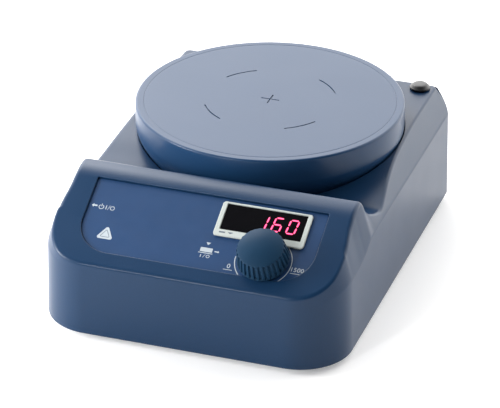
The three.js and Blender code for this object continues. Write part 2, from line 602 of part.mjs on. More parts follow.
function knobRing(z, r, flute) {
  return Array.from({ length: KNOB.flutes * 3 }, (_, i) => {
    const a = (2 * Math.PI * i) / (KNOB.flutes * 3);
    const reach = i % 3 === 0 ? r - flute : r;
    return [reach * Math.cos(a), reach * Math.sin(a), z];
  });
}

const knob = loft(KNOB_LEVELS.map((level) => knobRing(...level)), KNOB_AT)
  .subtract(cylinder(KNOB.hollowR, 0, 5, 0, 0, 24, KNOB_AT))
  .subtract(cylinder(SHAFT.clearR, 0, 10, 0, 0, 24, KNOB_AT));
add('knob', knob, 'knob_plastic');

// ---------------------------------------------------------------- main board
let mainBoard = box(BOARD.x0, BOARD.x1, BOARD.y0, BOARD.y1, BOARD.z0, BOARD.z1);
for (const [x, y] of BOARD_SCREWS) mainBoard = mainBoard.subtract(cylinder(1.7, 5, 20, x, y, 16));
add('main_board', mainBoard, 'board');
BOARD_SCREWS.forEach(([x, y], i) => {
  add(`main_board_screw_${i + 1}`, screw(2.8, 14.4, 12.5, 1.15, 6.2, x, y), 'steel');
});
add('transformer', box(-38, -6, -58, -30, BOARD.z1 + GAP, BOARD.z1 + 24), 'transformer_pot');
add('filter_capacitor', cylinder(8, BOARD.z1 + GAP, BOARD.z1 + 21, 10, -30), 'capacitor_sleeve');

// ---------------------------------------------------------------- motor bracket and flange
const FLANGE_SCREWS = circle(AXIS.x, AXIS.y, 20, 3, Math.PI / 6);

// folded sheet: a raised bench between two feet
function motorBracket() {
  const { halfL, z, t, footX, legX, footZ } = BRACKET;
  const section = [
    [-footX, footZ], [-legX, footZ], [-legX, z], [legX, z], [legX, footZ], [footX, footZ],
    [footX, footZ + t], [legX + t, footZ + t], [legX + t, z + t],
    [-legX - t, z + t], [-legX - t, footZ + t], [-footX, footZ + t],
  ];
  const alongY = new THREE.Matrix4().makeRotationX(Math.PI / 2);
  let bracket = prism(section, -(AXIS.y + halfL), -(AXIS.y - halfL), alongY);
  for (const [x, y] of BRACKET_SCREWS) bracket = bracket.subtract(cylinder(1.75, 0, 10, x, y, 16));
  bracket = bracket.subtract(cylinder(8, 15, 30, AXIS.x, AXIS.y));
  for (const [x, y] of FLANGE_SCREWS) bracket = bracket.subtract(cylinder(1.75, 15, 30, x, y, 16));
  return bracket;
}

// round flange with a tube that seats both bearings
const FLANGE_PROFILE = [
  [MOTOR.seatR, 22.3], [26, 22.3], [26, 25.3], [8.5, 25.3], [8.5, 45], [MOTOR.seatR, 45],
  [MOTOR.seatR, 39.6], [5.4, 39.6], [5.4, 28], [MOTOR.seatR, 28],
];

let flange = revolve(FLANGE_PROFILE, AXIS.x, AXIS.y, 32);
for (const [x, y] of FLANGE_SCREWS) flange = flange.subtract(cylinder(1.3, 20, 30, x, y, 16));
add('motor_bracket', motorBracket(), 'sheet_steel');
BRACKET_SCREWS.forEach(([x, y], i) => {
  add(`motor_bracket_screw_${i + 1}`, screw(3, 8.6, 6.9, 1.6, 2.4, x, y), 'steel');
});
add('motor_flange', flange, 'cast_aluminium');
FLANGE_SCREWS.forEach(([x, y], i) => {
  add(`motor_flange_screw_${i + 1}`, screw(2.8, 18.4, 20.2, 1.2, 25, x, y), 'steel');
});

// ---------------------------------------------------------------- motor and magnet carrier
// pole shoe: a short arc at the outer end of a stator arm
function poleShoe(middle) {
  const angles = [-0.4, -0.2, 0, 0.2, 0.4].map((a) => middle + a);
  const point = (r, a) => [AXIS.x + r * Math.cos(a), AXIS.y + r * Math.sin(a)];
  const outline = [
    ...angles.map((a) => point(STATOR.shoeOut, a)),
    ...angles.reverse().map((a) => point(STATOR.shoeIn, a)),
  ];
  return prism(outline, STATOR.z0, STATOR.z1);
}

let stator = ring(STATOR.rIn, STATOR.hubR, STATOR.z0, STATOR.z1, AXIS.x, AXIS.y, 32);
let winding = ring(12.4, 13.6, 29.3, 30.6, AXIS.x, AXIS.y, 32);
for (let i = 0; i < STATOR.poles; i += 1) {
  const a = (2 * Math.PI * i) / STATOR.poles;
  const arm = standing(AXIS.x, AXIS.y, a);
  const core = box(11, 19.6, -STATOR.poleHalfW, STATOR.poleHalfW, STATOR.z0, STATOR.z1, arm);
  const room = box(10, 20, -2.5, 2.5, STATOR.z0 - GAP, STATOR.z1 + GAP, arm);
  stator = stator.add(core).add(poleShoe(a));
  winding = winding.add(box(12.9, 18.4, -4.4, 4.4, 29.3, 42.7, arm).subtract(room));
}
add('motor_board', ring(8.9, 25, 26.2, 27.8, AXIS.x, AXIS.y, 32), 'board');
add('stator_core', stator, 'lamination');
add('stator_winding', winding, 'copper');
['bearing_lower', 'bearing_upper'].forEach((name, i) => {
  const z = MOTOR.bearings[i];
  add(name, ring(2.05, MOTOR.bearingR, z, z + MOTOR.bearingH, AXIS.x, AXIS.y, 24), 'steel');
});

// outer rotor: steel cup with a hub on the shaft, a magnet ring inside its wall
const ROTOR_PROFILE = [
  [MOTOR.boreR, 45.7], [25, 45.7], [25, 30], [26.2, 30], [26.2, 46.4], [25.4, 47.2], [6, 47.2], [6, 51],
  [MOTOR.boreR, 51],
];
add('rotor_cup', revolve(ROTOR_PROFILE, AXIS.x, AXIS.y, 36), 'steel');
add('ring_magnet', ring(21.8, 24.7, 30.5, 43, AXIS.x, AXIS.y, 36), 'magnet');
add('motor_shaft', cylinder(MOTOR.shaftR, 22, 59.4, AXIS.x, AXIS.y, 24), 'steel');

// magnet carrier: round disc with a hub and a pocket for each stirring magnet
const CARRIER_PROFILE = [
  [MOTOR.boreR, 51.4], [7.5, 51.4], [7.5, CARRIER.z0], [CARRIER.r - CARRIER.edge, CARRIER.z0],
  [CARRIER.r, CARRIER.z0 + CARRIER.edge], [CARRIER.r, CARRIER.z1 - CARRIER.edge],
  [CARRIER.r - CARRIER.edge, CARRIER.z1], [MOTOR.boreR, CARRIER.z1],
];
const magnetPlaces = [AXIS.x - CARRIER.magnetX, AXIS.x + CARRIER.magnetX];
let carrier = revolve(CARRIER_PROFILE, AXIS.x, AXIS.y, 36);
for (const x of magnetPlaces) {
  carrier = carrier.subtract(cylinder(CARRIER.magnetR + 0.2, CARRIER.floorZ, 70, x, AXIS.y, 28));
}
add('magnet_carrier', carrier, 'black_plastic');
magnetPlaces.forEach((x, i) => {
  const magnet = cylinder(CARRIER.magnetR, CARRIER.floorZ + 0.2, CARRIER.z1 + 0.2, x, AXIS.y, 28);
  add(`stir_magnet_${'ab'[i]}`, magnet, 'magnet');
});

// ---------------------------------------------------------------- mains inlet in the rear wall
// local x across, local y up, local z towards the front
const REAR = new THREE.Matrix4().makeTranslation(INLET.x, 0, INLET.z)
  .multiply(new THREE.Matrix4().makeRotationX(Math.PI / 2));
const PINS = [['line', -7, -1.2], ['earth', 0, 2.8], ['neutral', 7, -1.2]];
const SOCKET = [[-12, -8.2], [12, -8.2], [12, 3.2], [7, 8.2], [-7, 8.2], [-12, 3.2]];

function powerInlet() {
  const { halfW, halfH, flangeHalfW, flangeHalfH } = INLET;
  const flangeOutline = roundedRect(-flangeHalfW, flangeHalfW, -flangeHalfH, flangeHalfH, [2, 2, 2, 2], 4);
  const bodyOutline = roundedRect(-halfW, halfW, -halfH, halfH, [1, 1, 1, 1], 3);
  let inlet = prism(flangeOutline, -97, -94.9, REAR)
    .add(prism(bodyOutline, -95.5, -75, REAR))
    .subtract(prism(SOCKET, -99, -79.5, REAR));
  for (const [, x, y] of PINS) {
    inlet = inlet.subtract(box(x - 1.25, x + 1.25, y - 2.25, y + 2.25, -90, -70, REAR));
  }
  return inlet;
}

add('power_inlet', powerInlet(), 'black_plastic');
for (const [name, x, y] of PINS) {
  add(`inlet_pin_${name}`, box(x - 1, x + 1, y - 2, y + 2, -93, -69, REAR), 'brass');
}

// ---------------------------------------------------------------- power rocker in the left wall
// local x towards the front, local y up, local z out of the wall
const LEFT = new THREE.Matrix4()
  .makeBasis(new THREE.Vector3(0, -1, 0), new THREE.Vector3(0, 0, 1), new THREE.Vector3(-1, 0, 0))
  .setPosition(0, SWITCH.y, SWITCH.z);
const ROCKER_AT = LEFT.clone()
  .multiply(new THREE.Matrix4().makeTranslation(0, 0, SWITCH.pivotX))
  .multiply(new THREE.Matrix4().makeRotationY(SWITCH.rest))
  .multiply(new THREE.Matrix4().makeRotationX(Math.PI / 2));
const ROCKER_SECTION = [
  [-8.55, -0.8], [8.55, -0.8], [8.45, 1.5], [7.8, 3.6], [3.9, 2.75], [0, 2.2], [-3.9, 2.75], [-7.8, 3.6],
  [-8.45, 1.5],
];

const switchBody = prism(roundedRect(-12, 12, -8.5, 8.5, [1.5, 1.5, 1.5, 1.5], 4), 70.4, 71.8, LEFT)
  .add(box(-9.7, 9.7, -6.3, 6.3, 53, 71, LEFT))
  .subtract(box(-9.1, 9.1, -5.6, 5.6, 63, 80, LEFT));
add('switch_body', switchBody, 'black_plastic');
add('switch_rocker', prism(ROCKER_SECTION, -5.3, 5.3, ROCKER_AT), 'black_plastic');

// ---------------------------------------------------------------- plug in the support-rod hole
const PLUG_PROFILE = [
  [0, 52], [3.5, 52], [ROD.plugR, 52.8], [ROD.plugR, 60.8], [5.2, 60.8], [5.2, 61.6], [4.8, 62.4], [3.9, 63],
  [0, 63.3],
];
add('rod_hole_plug', revolve(PLUG_PROFILE, ROD.x, ROD.y, 24), 'rubber');

export default group;
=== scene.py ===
# Looks of a laboratory magnetic stirrer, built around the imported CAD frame.
# Shapes are worked out in millimetres in the frame's own axes and written to Blender in metres.
import json
import math

import bmesh
import bpy
from mathutils import Matrix, Vector


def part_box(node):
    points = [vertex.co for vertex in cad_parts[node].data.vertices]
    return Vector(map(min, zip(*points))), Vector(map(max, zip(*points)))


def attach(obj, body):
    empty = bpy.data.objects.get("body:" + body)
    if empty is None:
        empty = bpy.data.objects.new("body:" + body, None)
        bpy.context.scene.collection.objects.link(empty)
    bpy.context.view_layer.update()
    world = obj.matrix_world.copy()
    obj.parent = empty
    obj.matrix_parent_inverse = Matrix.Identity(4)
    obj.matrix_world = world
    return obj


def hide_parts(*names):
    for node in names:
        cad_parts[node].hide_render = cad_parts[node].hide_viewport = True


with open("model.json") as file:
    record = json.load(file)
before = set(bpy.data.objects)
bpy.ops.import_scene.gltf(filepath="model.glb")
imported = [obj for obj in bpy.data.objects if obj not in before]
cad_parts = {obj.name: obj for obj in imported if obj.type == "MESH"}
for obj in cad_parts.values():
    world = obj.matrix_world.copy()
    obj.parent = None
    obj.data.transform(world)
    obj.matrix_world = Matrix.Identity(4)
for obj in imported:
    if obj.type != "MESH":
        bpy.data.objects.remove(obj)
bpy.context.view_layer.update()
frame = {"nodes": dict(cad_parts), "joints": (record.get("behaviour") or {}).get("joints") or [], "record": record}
NODES = frame["nodes"]
JOINTS = {joint["name"]: joint for joint in frame["joints"]}
SCENE = bpy.context.scene
MM = 0.001


def box_mm(node):
    """Lowest and highest corner of a CAD node, in millimetres."""
    low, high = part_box(node)
    return low / MM, high / MM


def middle_mm(node):
    """Centre of a CAD node's box, in millimetres."""
    low, high = box_mm(node)
    return (low + high) / 2


def around_plate(radius, degrees):
    """A place at this distance and angle from the plate's centre."""
    a = math.radians(degrees)
    return PLATE_CENTRE.x + radius * math.cos(a), PLATE_CENTRE.y + radius * math.sin(a)


# -------- driving dimensions
HOUSING_LOW, HOUSING_HIGH = box_mm("upper_housing")
HALF_W = HOUSING_HIGH.x
HALF_D = HOUSING_HIGH.y
BOTTOM = HOUSING_LOW.z
FRONT_R = 25.7
REAR_R = 5.5
DECK_CORNER_R = 3.0
DRAFT = math.tan(math.radians(1.1))
WALL = 3.2
FOOT_ROUNDING = 0.7  # rounding of the wall's lower edge
CREASE_SOFTNESS = 0.8  # half length of the soft crease between wall and flank
FRONT_RIM_ROUNDING = 1.5
CORNER_RIM_ROUNDING = 1.2  # where a front corner meets the side
CONSOLE_RIM_ROUNDING = 2.0
DECK_RIM_ROUNDING = 1.2
FRONT_RIM_INSET = 0.7  # from the wall's foot in to the rim, at the front
SIDE_RIM_INSET = 4.2  # the same at the side end of a front corner
FRONT_CREASE_Z = 37.0
FRONT_CREASE_DROP = 2.7  # least height from the front crease up to the rim
HOLLOW_DROP = 0.8  # how much lower the hollow's creases lie along the sides and the rear
HOLLOW_INSET = 0.4  # how much further in its rim lies there
SHOULDER_Z = 47.7
CHAMFER_SLOPE = math.tan(math.radians(60))
CHAMFER_START_Y = -40.0  # the console's flank turns into the deck's chamfer
CHAMFER_FULL_Y = -29.0

KNOB_AXIS = Vector(JOINTS["knob_turn"]["axis"])
KNOB_POINT = Vector(JOINTS["knob_turn"]["pos_m"]) / MM
CONSOLE_SLOPE = math.atan2(-KNOB_AXIS.y, KNOB_AXIS.z)
CONSOLE_Z = 39.7
LABEL_Z = 38.56
CREST_Y = -43.2
CREST_Z = 65.45
CREST_FRONT_R = 24.0
CREST_REAR_R = 3.0
CREST_REAR_SLOPE = math.radians(52)

PLATE_LOW, PLATE_HIGH = box_mm("work_plate")
PLATE_CENTRE = middle_mm("work_plate")
PLATE_R = (PLATE_HIGH.x - PLATE_LOW.x) / 2
PLATE_TOP = PLATE_HIGH.z
PLATE_LINE_R = 61.75
MARK_R = 32.5
MARK_HALF_ARC = 15  # half the sweep of an engraved arc, in degrees
CROSS_ARM = 4.6
MARK_WIDTH = 0.7
MARK_DEPTH = 0.45
SKIRT = [(61.5, 50.9), (62.3, 52.4), (63.4, 54.2), (64.6, 56.4), (65.5, 58.8), (66.0, 61.6)]
WELL_FLOOR = 50.0
WELL_FLOOR_T = 3.2
WELL_GAP = 0.6
WELL_WALL = 2.6
WELL_HOLE_R = 46.5
# the plate's three screw posts
POST_SPOTS = [around_plate(53.2, 90 + 120 * i) for i in range(3)]
POST_SCREW_R = 2.2

LABEL_HALF_W = 57.2
LABEL_S0 = 9.7
LABEL_S1 = 50.5
LABEL_CORNER = 17.0
LABEL_GAP = 0.22  # between the label and the wall of its recess
RECESS_DEPTH = 0.75
PANEL_PADS = [(-1, 12.5), (57, 12.5), (-1, 46.5), (57, 46.5)]
PANEL_PAD_R = 2.6
PANEL_SCREWS = PANEL_PADS[1:3]
PANEL_SCREW_R = 1.1
PRINT_T = 0.035
BEZEL_BOX = (6.3, 50.3, 29.1, 48.3)
BEZEL_TOP = 1.05
WINDOW_BOX = (8.65, 48.0, 32.8, 47.4)
WINDOW_TOP = 0.6
DIAL_X = KNOB_POINT.x
DIAL_S = 19.8
KNOB_HOLE_R = 3.8

ROD_CENTRE = middle_mm("rod_hole_plug")
ROD_HOLE_R = 4.2
ROD_DEPTH = 24.0
ROD_SLEEVE_R = 7.6
FEET = {name: middle_mm(name) for name in NODES if name.startswith("foot_") and "screw" not in name}
FOOT_BOSS_R = 4.4
FOOT_SCREW_R = 1.75
SWITCH = middle_mm("switch_body")
INLET = middle_mm("power_inlet")
# half sizes of the recess for each fitting's flange, of the opening for its body, and of the pad behind
SWITCH_RECESS, SWITCH_OPENING, SWITCH_PAD = (12.3, 8.8), (10, 6.6), (15, 11.5)
INLET_RECESS, INLET_OPENING, INLET_PAD = (17, 12.6), (13.8, 10.1), (20, 15)

# frames that lay a shape drawn in x and y on the console, at the knob, on the left and on the rear wall
CONSOLE = Matrix.Translation((0, -HALF_D, LABEL_Z)) @ Matrix.Rotation(CONSOLE_SLOPE, 4, "X")
KNOB_FRAME = CONSOLE @ Matrix.Translation((DIAL_X, DIAL_S, 0))
LEFT_WALL = Matrix(((0, 0, 1, 0), (1, 0, 0, 0), (0, 1, 0, 0), (0, 0, 0, 1)))
REAR_WALL = Matrix(((1, 0, 0, 0), (0, 0, 1, 0), (0, 1, 0, 0), (0, 0, 0, 1)))


# -------- node materials
def fill(node, values):
    """Sets a node's uniform inputs, by socket name."""
    for socket, value in values.items():
        node.inputs[socket].default_value = value


def smooth_ramp(tree, source, from_low, from_high, to_low, to_high):
    """Adds a node that turns one span of the source's values smoothly into another."""
    node = tree.nodes.new("ShaderNodeMapRange")
    node.interpolation_type = "SMOOTHSTEP"
    fill(node, {"From Min": from_low, "From Max": from_high, "To Min": to_low, "To Max": to_high})
    tree.links.new(source, node.inputs["Value"])
    return node.outputs["Result"]


class Surface:
    """A principled material whose colour, roughness and bump come from layered procedural textures."""

    def __init__(self, name, color, roughness, metallic=0.0):
        self.material = bpy.data.materials.new(name)
        self.material.use_nodes = True
        self.tree = self.material.node_tree
        self.shader = self.tree.nodes["Principled BSDF"]
        self.color = (*color, 1.0)
        self.material.diffuse_color = self.color
        fill(self.shader, {"Base Color": self.color, "Roughness": roughness, "Metallic": metallic})
        self.coordinates = self.node("ShaderNodeTexCoord").outputs["Object"]
        self.color_out = None
        self.height_out = None
        self.roughness_out = None
        self.roughness = roughness

    def node(self, kind, **settings):
        made = self.tree.nodes.new(kind)
        for key, value in settings.items():
            setattr(made, key, value)
        return made

    def link(self, source, target):
        self.tree.links.new(source, target)

    def set(self, **values):
        """Uniform values of the shader, such as Coat_Weight."""
        fill(self.shader, {key.replace("_", " "): value for key, value in values.items()})

    def scaled(self, factors):
        """The object's coordinates, each times a factor."""
        mapping = self.node("ShaderNodeMapping")
        fill(mapping, {"Scale": factors})
        self.link(self.coordinates, mapping.inputs["Vector"])
        return mapping.outputs["Vector"]

    def noise(self, size, detail, stretch=(1, 1, 1)):
        """Noise whose features are about size millimetres across."""
        texture = self.node("ShaderNodeTexNoise")
        fill(texture, {"Scale": 1.0, "Detail": detail})
        self.link(self.scaled([1 / (size * MM) * k for k in stretch]), texture.inputs["Vector"])
        return texture.outputs["Fac"]

    def tint(self, source, color, amount, from_low=0.3, from_high=0.7):
        """Mixes a colour in where the source is high."""
        mixer = self.node("ShaderNodeMix", data_type="RGBA")
        fill(mixer, {"A": self.color, "B": (*color, 1.0)})
        if self.color_out is not None:
            self.link(self.color_out, mixer.inputs["A"])
        factor = smooth_ramp(self.tree, source, from_low, from_high, 0.0, amount)
        self.link(factor, mixer.inputs["Factor"])
        self.color_out = mixer.outputs["Result"]

    def gloss(self, source, spread):
        """Varies the roughness by plus or minus spread."""
        low, high = self.roughness - spread, self.roughness + spread
        self.roughness_out = smooth_ramp(self.tree, source, 0.1, 0.9, low, high)

    def bump(self, source, distance):
        """Adds relief of about distance millimetres."""
        node = self.node("ShaderNodeBump")
        fill(node, {"Distance": distance * MM})
        self.link(source, node.inputs["Height"])
        if self.height_out is not None:
            self.link(self.height_out, node.inputs["Normal"])
        self.height_out = node.outputs["Normal"]

    def done(self):
        """Joins the layers to the shader and gives the finished material."""
        layers = {"Base Color": self.color_out, "Roughness": self.roughness_out, "Normal": self.height_out}
        for socket, source in layers.items():
            if source is not None:
                self.link(source, self.shader.inputs[socket])
        return self.material


def shade(color, factor):
    return tuple(channel * factor for channel in color)


def paint(name, color, roughness, gloss):
    """Satin paint: fine orange peel, faint pigment grain and slow drifts of tone."""
    surface = Surface(name, color, roughness)
    surface.set(Specular_IOR_Level=gloss)
    surface.tint(surface.noise(38, 1), shade(color, 1.18), 0.3, 0.1, 0.9)
    surface.tint(surface.noise(0.45, 1), shade(color, 1.4), 0.3, 0.4, 0.8)
    surface.gloss(surface.noise(25, 1), 0.02)
    surface.bump(surface.noise(0.7, 1), 0.0065)
    return surface.done()


def moulded(name, color, roughness, grain=0.35, relief=0.01, coat=0.0, gloss=0.5):
    """Injection-moulded plastic: spark-eroded grain with slight sheen changes."""
    surface = Surface(name, color, roughness)
    surface.set(Coat_Weight=coat, Coat_Roughness=0.2, Specular_IOR_Level=gloss)
    surface.tint(surface.noise(9, 3), shade(color, 1.25), 0.3)
    surface.tint(surface.noise(grain, 1), shade(color, 0.8), 0.3)
    surface.gloss(surface.noise(5, 3), 0.05)
    surface.bump(surface.noise(grain, 2), relief)
    return surface.done()


def brushed(name, color, roughness, stretch):
    """Rolled or turned metal: streaks along the axes of the smallest factors, and light blotches."""
    surface = Surface(name, color, roughness, metallic=1.0)
    streaks = surface.noise(0.25, 3, stretch)
    surface.tint(streaks, shade(color, 0.72), 0.5)
    surface.tint(surface.noise(6, 3), shade(color, 1.12), 0.4)
    surface.gloss(streaks, 0.09)
    surface.bump(streaks, 0.006)
    return surface.done()


def cast(name, color, roughness):
    """As-cast metal: sandy relief and darker patches."""
    surface = Surface(name, color, roughness, metallic=1.0)
    surface.tint(surface.noise(5, 4), shade(color, 0.65), 0.6)
    surface.gloss(surface.noise(2, 3), 0.1)
    surface.bump(surface.noise(0.5, 3), 0.03)
    return surface.done()


def solder_resist(name):
    """Circuit board: green resist with lighter copper pours and runs of track under it."""
    surface = Surface(name, (0.010, 0.085, 0.035), 0.32)
    surface.set(Coat_Weight=0.4, Coat_Roughness=0.15)
    brick = surface.node("ShaderNodeTexBrick", offset=0.5)
    fill(brick, {"Scale": 1.0, "Mortar Size": 0.12, "Brick Width": 3.1, "Row Height": 0.9})
    surface.link(surface.scaled([1 / MM] * 3), brick.inputs["Vector"])
    surface.tint(brick.outputs["Fac"], (0.03, 0.20, 0.09), 0.8, 0.2, 0.8)
    surface.tint(surface.noise(11, 2), (0.02, 0.13, 0.06), 0.7, 0.48, 0.52)
    surface.bump(brick.outputs["Fac"], 0.02)
    return surface.done()


def banded(name, dark, light, roughness, relief):
    """Fine level bands, for stacked laminations and wound wire."""
    surface = Surface(name, dark, roughness, metallic=1.0)
    wave = surface.node("ShaderNodeTexWave", bands_direction="Z")
    fill(wave, {"Scale": 1 / (BAND_PITCH * MM) / 20 * math.pi, "Distortion": 0.3, "Detail": 1.0})
    surface.link(surface.coordinates, wave.inputs["Vector"])
    surface.tint(wave.outputs["Fac"], light, 1.0, 0.2, 0.8)
    surface.gloss(surface.noise(3, 2), 0.06)
    surface.bump(wave.outputs["Fac"], relief)
    return surface.done()


def glow(name, color, strength):
    """A lit segment: its light is a little uneven, as an LED die behind a diffuser is."""
    surface = Surface(name, shade(color, 0.3), 0.4)
    surface.tint(surface.noise(1.5, 1), shade(color, 0.5), 0.5)
    surface.set(Emission_Color=(*color, 1.0), Emission_Strength=strength)
    return surface.done()


BAND_PITCH = 0.5
HOUSING_BLUE = (0.0066, 0.0280, 0.0715)
LABEL_BLUE = (0.0098, 0.041, 0.116)
KNOB_BLUE = (0.0100, 0.034, 0.070)

PAINT = paint("housing_paint", HOUSING_BLUE, 0.30, gloss=0.22)
# the plate has the housing's own blue paint; its colour is made 1.3 times lighter as painted sheen, in place of
# the reflection its top catches
PLATE_COAT_PAINTED_SHEEN = paint("plate_coat", shade(HOUSING_BLUE, 1.3), 0.30, gloss=0.27)
LABEL_FILM = moulded("label_film", LABEL_BLUE, 0.42, 0.3, 0.004, gloss=0.25)
PRINT = moulded("print_white", (0.38, 0.43, 0.47), 0.5, 0.2, 0.002)
PRINT_DARK = moulded("print_dark", (0.10, 0.13, 0.16), 0.5, 0.2, 0.002)
KNOB_PLASTIC = moulded("knob_plastic", KNOB_BLUE, 0.42, 0.3, 0.004, gloss=0.06)
BEZEL_PLASTIC = moulded("bezel_plastic", (0.42, 0.46, 0.44), 0.45, 0.4, 0.006)
WINDOW_LENS = moulded("window_lens", (0.003, 0.003, 0.004), 0.10, 0.8, 0.001, gloss=0.12)
BLACK_PLASTIC = moulded("black_plastic", (0.016, 0.016, 0.018), 0.45)
RUBBER = moulded("rubber", (0.014, 0.015, 0.017), 0.42, 0.5, 0.01)
POTTING = moulded("transformer_pot", (0.012, 0.013, 0.016), 0.35, 1.5, 0.03)
SLEEVE = moulded("capacitor_sleeve", (0.02, 0.04, 0.13), 0.3, 0.6, 0.006, coat=0.5)
LED_BODY = moulded("led_body", (0.05, 0.006, 0.008), 0.25, 0.6, 0.004)
MAGNET = cast("magnet", (0.16, 0.16, 0.17), 0.5)
CAST_ALUMINIUM = cast("cast_aluminium", (0.55, 0.56, 0.57), 0.45)
STEEL = brushed("steel", (0.60, 0.61, 0.63), 0.30, (1, 1, 6))
SHEET_STEEL = brushed("sheet_steel", (0.52, 0.54, 0.56), 0.38, (0.15, 1, 1))
BRASS = brushed("brass", (0.70, 0.52, 0.22), 0.28, (1, 0.2, 1))
BOARD = solder_resist("board")
LAMINATION = banded("lamination", (0.10, 0.10, 0.11), (0.32, 0.32, 0.33), 0.45, 0.03)
COPPER = banded("copper", (0.30, 0.10, 0.03), (0.75, 0.32, 0.12), 0.35, 0.08)
LED_GLOW = glow("led_lit", (1.0, 0.012, 0.17), 1.7)
LED_CORE = glow("led_core", (1.0, 0.16, 0.28), 2.6)

# CAD nodes that keep their shape take the material of their slot
SLOT_MATERIALS = {
    "black_plastic": BLACK_PLASTIC, "rubber": RUBBER, "steel": STEEL, "sheet_steel": SHEET_STEEL,
    "board": BOARD, "led_red": LED_BODY, "cast_aluminium": CAST_ALUMINIUM, "lamination": LAMINATION,
    "copper": COPPER, "magnet": MAGNET, "transformer_pot": POTTING, "capacitor_sleeve": SLEEVE,
    "brass": BRASS, "housing_paint": PAINT, "plate_coat": PLATE_COAT_PAINTED_SHEEN, "label_film": LABEL_FILM,
    "knob_plastic": KNOB_PLASTIC, "bezel_plastic": BEZEL_PLASTIC, "window_lens": WINDOW_LENS,
}
for part in frame["record"]["subparts"]:
    mesh = NODES[part["node"]].data
    mesh.materials.clear()
    mesh.materials.append(SLOT_MATERIALS[part["material_slot"]])


# -------- mesh helpers (millimetres)
EDGE_STEPS = 3  # facets across a small rounded edge


class Solid:
    """Vertices and faces of one or more closed shells."""

    def __init__(self):
        self.verts = []
        self.faces = []

    def rings(self, rings, cap_low=True, cap_high=True):
        """Joins closed rings of equal length; each end is a face or open."""
        start = len(self.verts)
        count = len(rings[0])
        for ring in rings:
            self.verts.extend(Vector(p) for p in ring)
        for k in range(len(rings) - 1):
            a, b = start + k * count, start + (k + 1) * count
            for i in range(count):
                j = (i + 1) % count
                self.faces.append((a + i, a + j, b + j, b + i))
        if cap_low:
            self.faces.append(tuple(start + i for i in reversed(range(count))))
        if cap_high:
            last = start + (len(rings) - 1) * count
            self.faces.append(tuple(last + i for i in range(count)))
        return self

    def revolve(self, profile, centre, segments):
        """Turns a profile of (radius, height) about a vertical axis; it closes on itself or on the axis."""
        index = []
        for radius, height in profile:
            if radius < 1e-6:
                index.append([len(self.verts)] * segments)
                self.verts.append(Vector((centre[0], centre[1], height)))
                continue
            index.append(list(range(len(self.verts), len(self.verts) + segments)))
            for i in range(segments):
                a = 2 * math.pi * i / segments
                x, y = centre[0] + radius * math.cos(a), centre[1] + radius * math.sin(a)
                self.verts.append(Vector((x, y, height)))
        closed = profile[0][0] >= 1e-6
        for k in range(len(profile) if closed else len(profile) - 1):
            low, high = index[k], index[(k + 1) % len(profile)]
            for i in range(segments):
                j = (i + 1) % segments
                face = list(dict.fromkeys((low[i], low[j], high[j], high[i])))
                if len(face) > 2:
                    self.faces.append(tuple(face))
        return self

    def prism(self, outline, low, high, edge=0.0):
        """Upright prism of an outline function outline(inset); its top edge is rounded by edge."""
        rings = [[(x, y, low) for x, y in outline(0.0)]]
        for i in range(EDGE_STEPS + 1 if edge else 1):
            a = math.pi / 2 * i / EDGE_STEPS
            inset = edge * (1 - math.cos(a))
            rings.append([(x, y, high - edge + edge * math.sin(a)) for x, y in outline(inset)])
        return self.rings(rings)

    def box(self, x0, x1, y0, y1, z0, z1):
        return self.prism(lambda inset: [(x0, y0), (x1, y0), (x1, y1), (x0, y1)], z0, z1)

    def moved(self, matrix):
        self.verts = [matrix @ v for v in self.verts]
        return self

    def join(self, other):
        start = len(self.verts)
        self.verts.extend(other.verts)
        self.faces.extend(tuple(i + start for i in face) for face in other.faces)

    def object(self, name, material=None):
        mesh = bpy.data.meshes.new(name)
        mesh.from_pydata([v * MM for v in self.verts], [], self.faces)
        mesh.validate()
        made = bpy.data.objects.new(name, mesh)
        SCENE.collection.objects.link(made)
        if material is not None:
            mesh.materials.append(material)
        face_outwards(made)
        return made


def face_outwards(target):
    """Turns every closed shell so that its faces point out."""
    work = bmesh.new()
    work.from_mesh(target.data)
    bmesh.ops.recalc_face_normals(work, faces=work.faces)
    work.to_mesh(target.data)
    work.free()


def rounded_rect(x0, x1, y0, y1, radii, steps):
    """Outline function of a rectangle with rounded corners, from the lower right, anticlockwise."""
    def outline(inset):
        corners = [
            (x1 - inset, y0 + inset, -1, 1, radii[0], -90), (x1 - inset, y1 - inset, -1, -1, radii[1], 0),
            (x0 + inset, y1 - inset, 1, -1, radii[2], 90), (x0 + inset, y0 + inset, 1, 1, radii[3], 180),
        ]
        points = []
        for x, y, to_x, to_y, radius, start in corners:
            r = max(radius - inset, 0.02)
            for i in range(steps + 1):
                a = math.radians(start + 90 * i / steps)
                points.append((x + to_x * r + r * math.cos(a), y + to_y * r + r * math.sin(a)))
        return points
    return outline


def plate_of(outline, low, high):
    """Thin upright solid of a list of points."""
    return Solid().rings([[(x, y, z) for x, y in outline] for z in (low, high)])


def cylinder(radius, z0, z1, centre=(0, 0), segments=48):
    return Solid().revolve([(0, z0), (radius, z0), (radius, z1), (0, z1)], centre, segments)


def arc_points(centre, radius, start, end, steps):
    """Points on an arc in a profile's (radius, height) plane, angles in degrees."""
    points = []
    for i in range(steps + 1):
        a = math.radians(start + (end - start) * i / steps)
        points.append((centre[0] + radius * math.cos(a), centre[1] + radius * math.sin(a)))
    return points


def baked(source):
    """Mesh of an object with its modifiers or letter shapes worked out."""
    bpy.context.view_layer.update()
    graph = bpy.context.evaluated_depsgraph_get()
    return bpy.data.meshes.new_from_object(source.evaluated_get(graph))


def cut(target, tools, operation="DIFFERENCE"):
    """Cuts the target by each tool in turn, or joins them on with UNION, and throws the tools away."""
    for tool in tools:
        modifier = target.modifiers.new("cut", "BOOLEAN")
        modifier.operation = operation
        modifier.solver = "MANIFOLD"
        modifier.object = tool
        mesh = baked(target)
        target.modifiers.clear()
        target.data = mesh
        bpy.data.objects.remove(tool)


